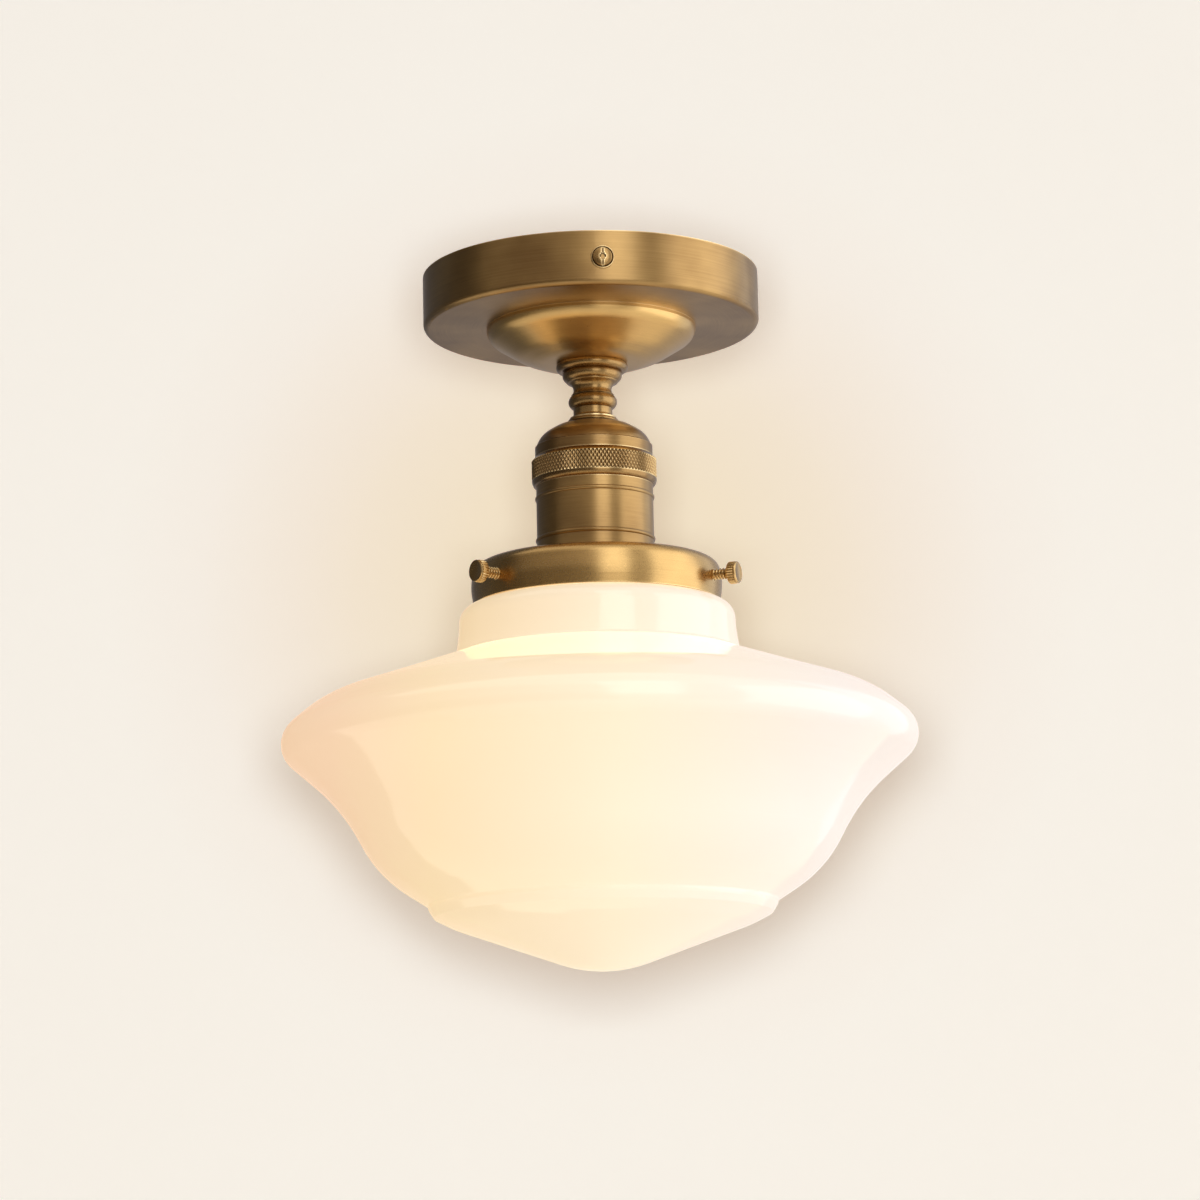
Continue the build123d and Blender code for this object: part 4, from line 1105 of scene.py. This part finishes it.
def softbox(name, tone, radiance, width, height, place, towards, wall_only=False):
    """Rectangular lamp of a given brightness, aimed at a place.

    It lights the object and leaves the wall alone, and mirrors show it. A lamp for the wall only is the
    other way round.
    """
    data = bpy.data.lights.new(name, "AREA")
    data.shape = "RECTANGLE"
    data.size, data.size_y = width, height
    data.color = linear(tone)[:3]
    data.energy = radiance * width * height * pi
    obj = bpy.data.objects.new(name, data)
    obj.location = place
    obj.rotation_mode = "QUATERNION"
    obj.rotation_quaternion = (towards - place).to_track_quat("-Z", "Y")
    obj.visible_camera = False
    obj.visible_glossy = not wall_only
    bpy.context.scene.collection.objects.link(obj)
    receivers = bpy.data.collections.new(name + "_receivers")
    receivers.objects.link(bpy.data.objects["backdrop"])
    receivers.collection_objects[0].light_linking.link_state = "INCLUDE" if wall_only else "EXCLUDE"
    obj.light_linking.receiver_collection = receivers


def set_lights():
    """Lamps and cards at a turn and rise round the light, in degrees, with their sizes in metres.

    A front softbox, a tall window at the right and a small low lamp light the object. Dim cards fill the
    rest of what the brass mirrors, and the wall's own lamp throws the soft shadow.
    """
    c = view_centre()
    for name, tone, radiance, width, height, turn, rise in (
        ("front_softbox", "#F6F9FF", 1.15, 0.9, 2.15, 17, 24.5),
        ("window_softbox", "#F6F9FF", 1.0, 2.15, 3.2, 81, 1),
        ("low_softbox", "#FFFFFF", 3.0, 0.14, 0.14, 51.5, -47),
    ):
        softbox(name, tone, radiance, width, height, around(turn, rise, LAMP_DISTANCE, c), c)
    spread = WALL_BEHIND + WALL_LAMP_AHEAD
    softbox(
        "wall_lamp", WALL_LAMP_TONE, WALL_LAMP_SHARE * pi * spread**2 / WALL_LAMP_WIDTH**2,
        WALL_LAMP_WIDTH, WALL_LAMP_WIDTH, around(0, WALL_LAMP_RISE, WALL_LAMP_AHEAD, c), c,
        wall_only=True,
    )
    for name, tones, strength, width, height, turn, rise, distance in (
        ("front_card", ((0, "#7E766F"), (0.5, "#686059"), (1, "#4C4642")), 1.0, 5.3, 2.6, -46, -19, 2.3),
        ("upper_card", ((0, "#A89E96"), (0.5, "#8C837B"), (1, "#5E5853")), 1.35, 5.3, 1.6, -46, 30,
         CARD_DISTANCE),
        ("left_card", ((0, "#56524E"), (1, "#56524E")), 1.0, 2.4, 4.4, -104, 0, CARD_DISTANCE),
        ("gap_card", ((0, "#BAB4AE"), (1, "#BAB4AE")), 1.0, 1.2, 4.4, 41, 0, CARD_DISTANCE),
    ):
        card(name, tones, strength, width, height, around(turn, rise, distance, c), c)
    # cards just before the wall, which the brass mirrors in place of it, each clear of the last
    to_camera, right = around(0, -CAMERA_RISE, 1, Vector()), around(90, 0, 1, Vector())
    before_wall = c - to_camera * (WALL_BEHIND - 10 * MM)
    low = before_wall + to_camera * 4 * MM + right * 0.55 - Vector((0, 0, 0.95))
    wing = before_wall + to_camera * 5 * MM + right * 1.06
    for name, tones, width, height, place in (
        ("back_card", ((0.38, "#58585A"), (0.5, "#A6A2A4"), (0.62, "#B4B0B0")), 2.98, 2.98, before_wall),
        ("low_wall_card", ((0, "#8E8A8A"), (0.4, "#FFF3E0")), 1.3, 1.1, low),
        ("window_wing", ((0, "#F6F9FF"), (1, "#F6F9FF")), 1.0, 1.8, wing),
    ):
        card(name, tones, 1.0, width, height, place, place + to_camera)


# ---------------------------------------------------------------- panel and registration
class CEILINGLIGHT_PT_panel(bpy.types.Panel):
    """Lists the light's pieces, sizes and colours"""

    bl_idname = "CEILINGLIGHT_PT_panel"
    bl_label = "Ceiling Light"
    bl_space_type = "VIEW_3D"
    bl_region_type = "UI"
    bl_category = "Ceiling Light"

    def draw(self, context):
        for group in (sizes(), colours()):
            for name in group.bl_rna.properties.keys():
                if name not in ("rna_type", "name"):
                    self.layout.prop(group, name)
        for operator in OPERATORS:
            self.layout.operator(operator.bl_idname)


OPERATORS = (
    CEILINGLIGHT_OT_turned_brass,
    CEILINGLIGHT_OT_knurled_ring,
    CEILINGLIGHT_OT_thumbscrews,
    CEILINGLIGHT_OT_canopy_screws,
    CEILINGLIGHT_OT_shade,
    CEILINGLIGHT_OT_inner_parts,
    CEILINGLIGHT_OT_stage,
)
CLASSES = (CeilingLightSizes, CeilingLightColours, *OPERATORS, CEILINGLIGHT_PT_panel)


def register():
    for cls in CLASSES:
        bpy.utils.register_class(cls)
    bpy.types.Scene.ceiling_light_sizes = PointerProperty(type=CeilingLightSizes)
    bpy.types.Scene.ceiling_light_colours = PointerProperty(type=CeilingLightColours)


def unregister():
    del bpy.types.Scene.ceiling_light_colours
    del bpy.types.Scene.ceiling_light_sizes
    for cls in reversed(CLASSES):
        bpy.utils.unregister_class(cls)


def main():
    """Makes every piece."""
    register()
    bpy.context.scene.view_settings.view_transform = "Standard"
    for operator in OPERATORS:
        group, name = operator.bl_idname.split(".")
        getattr(getattr(bpy.ops, group), name)()


if __name__ == "__main__":
    main()
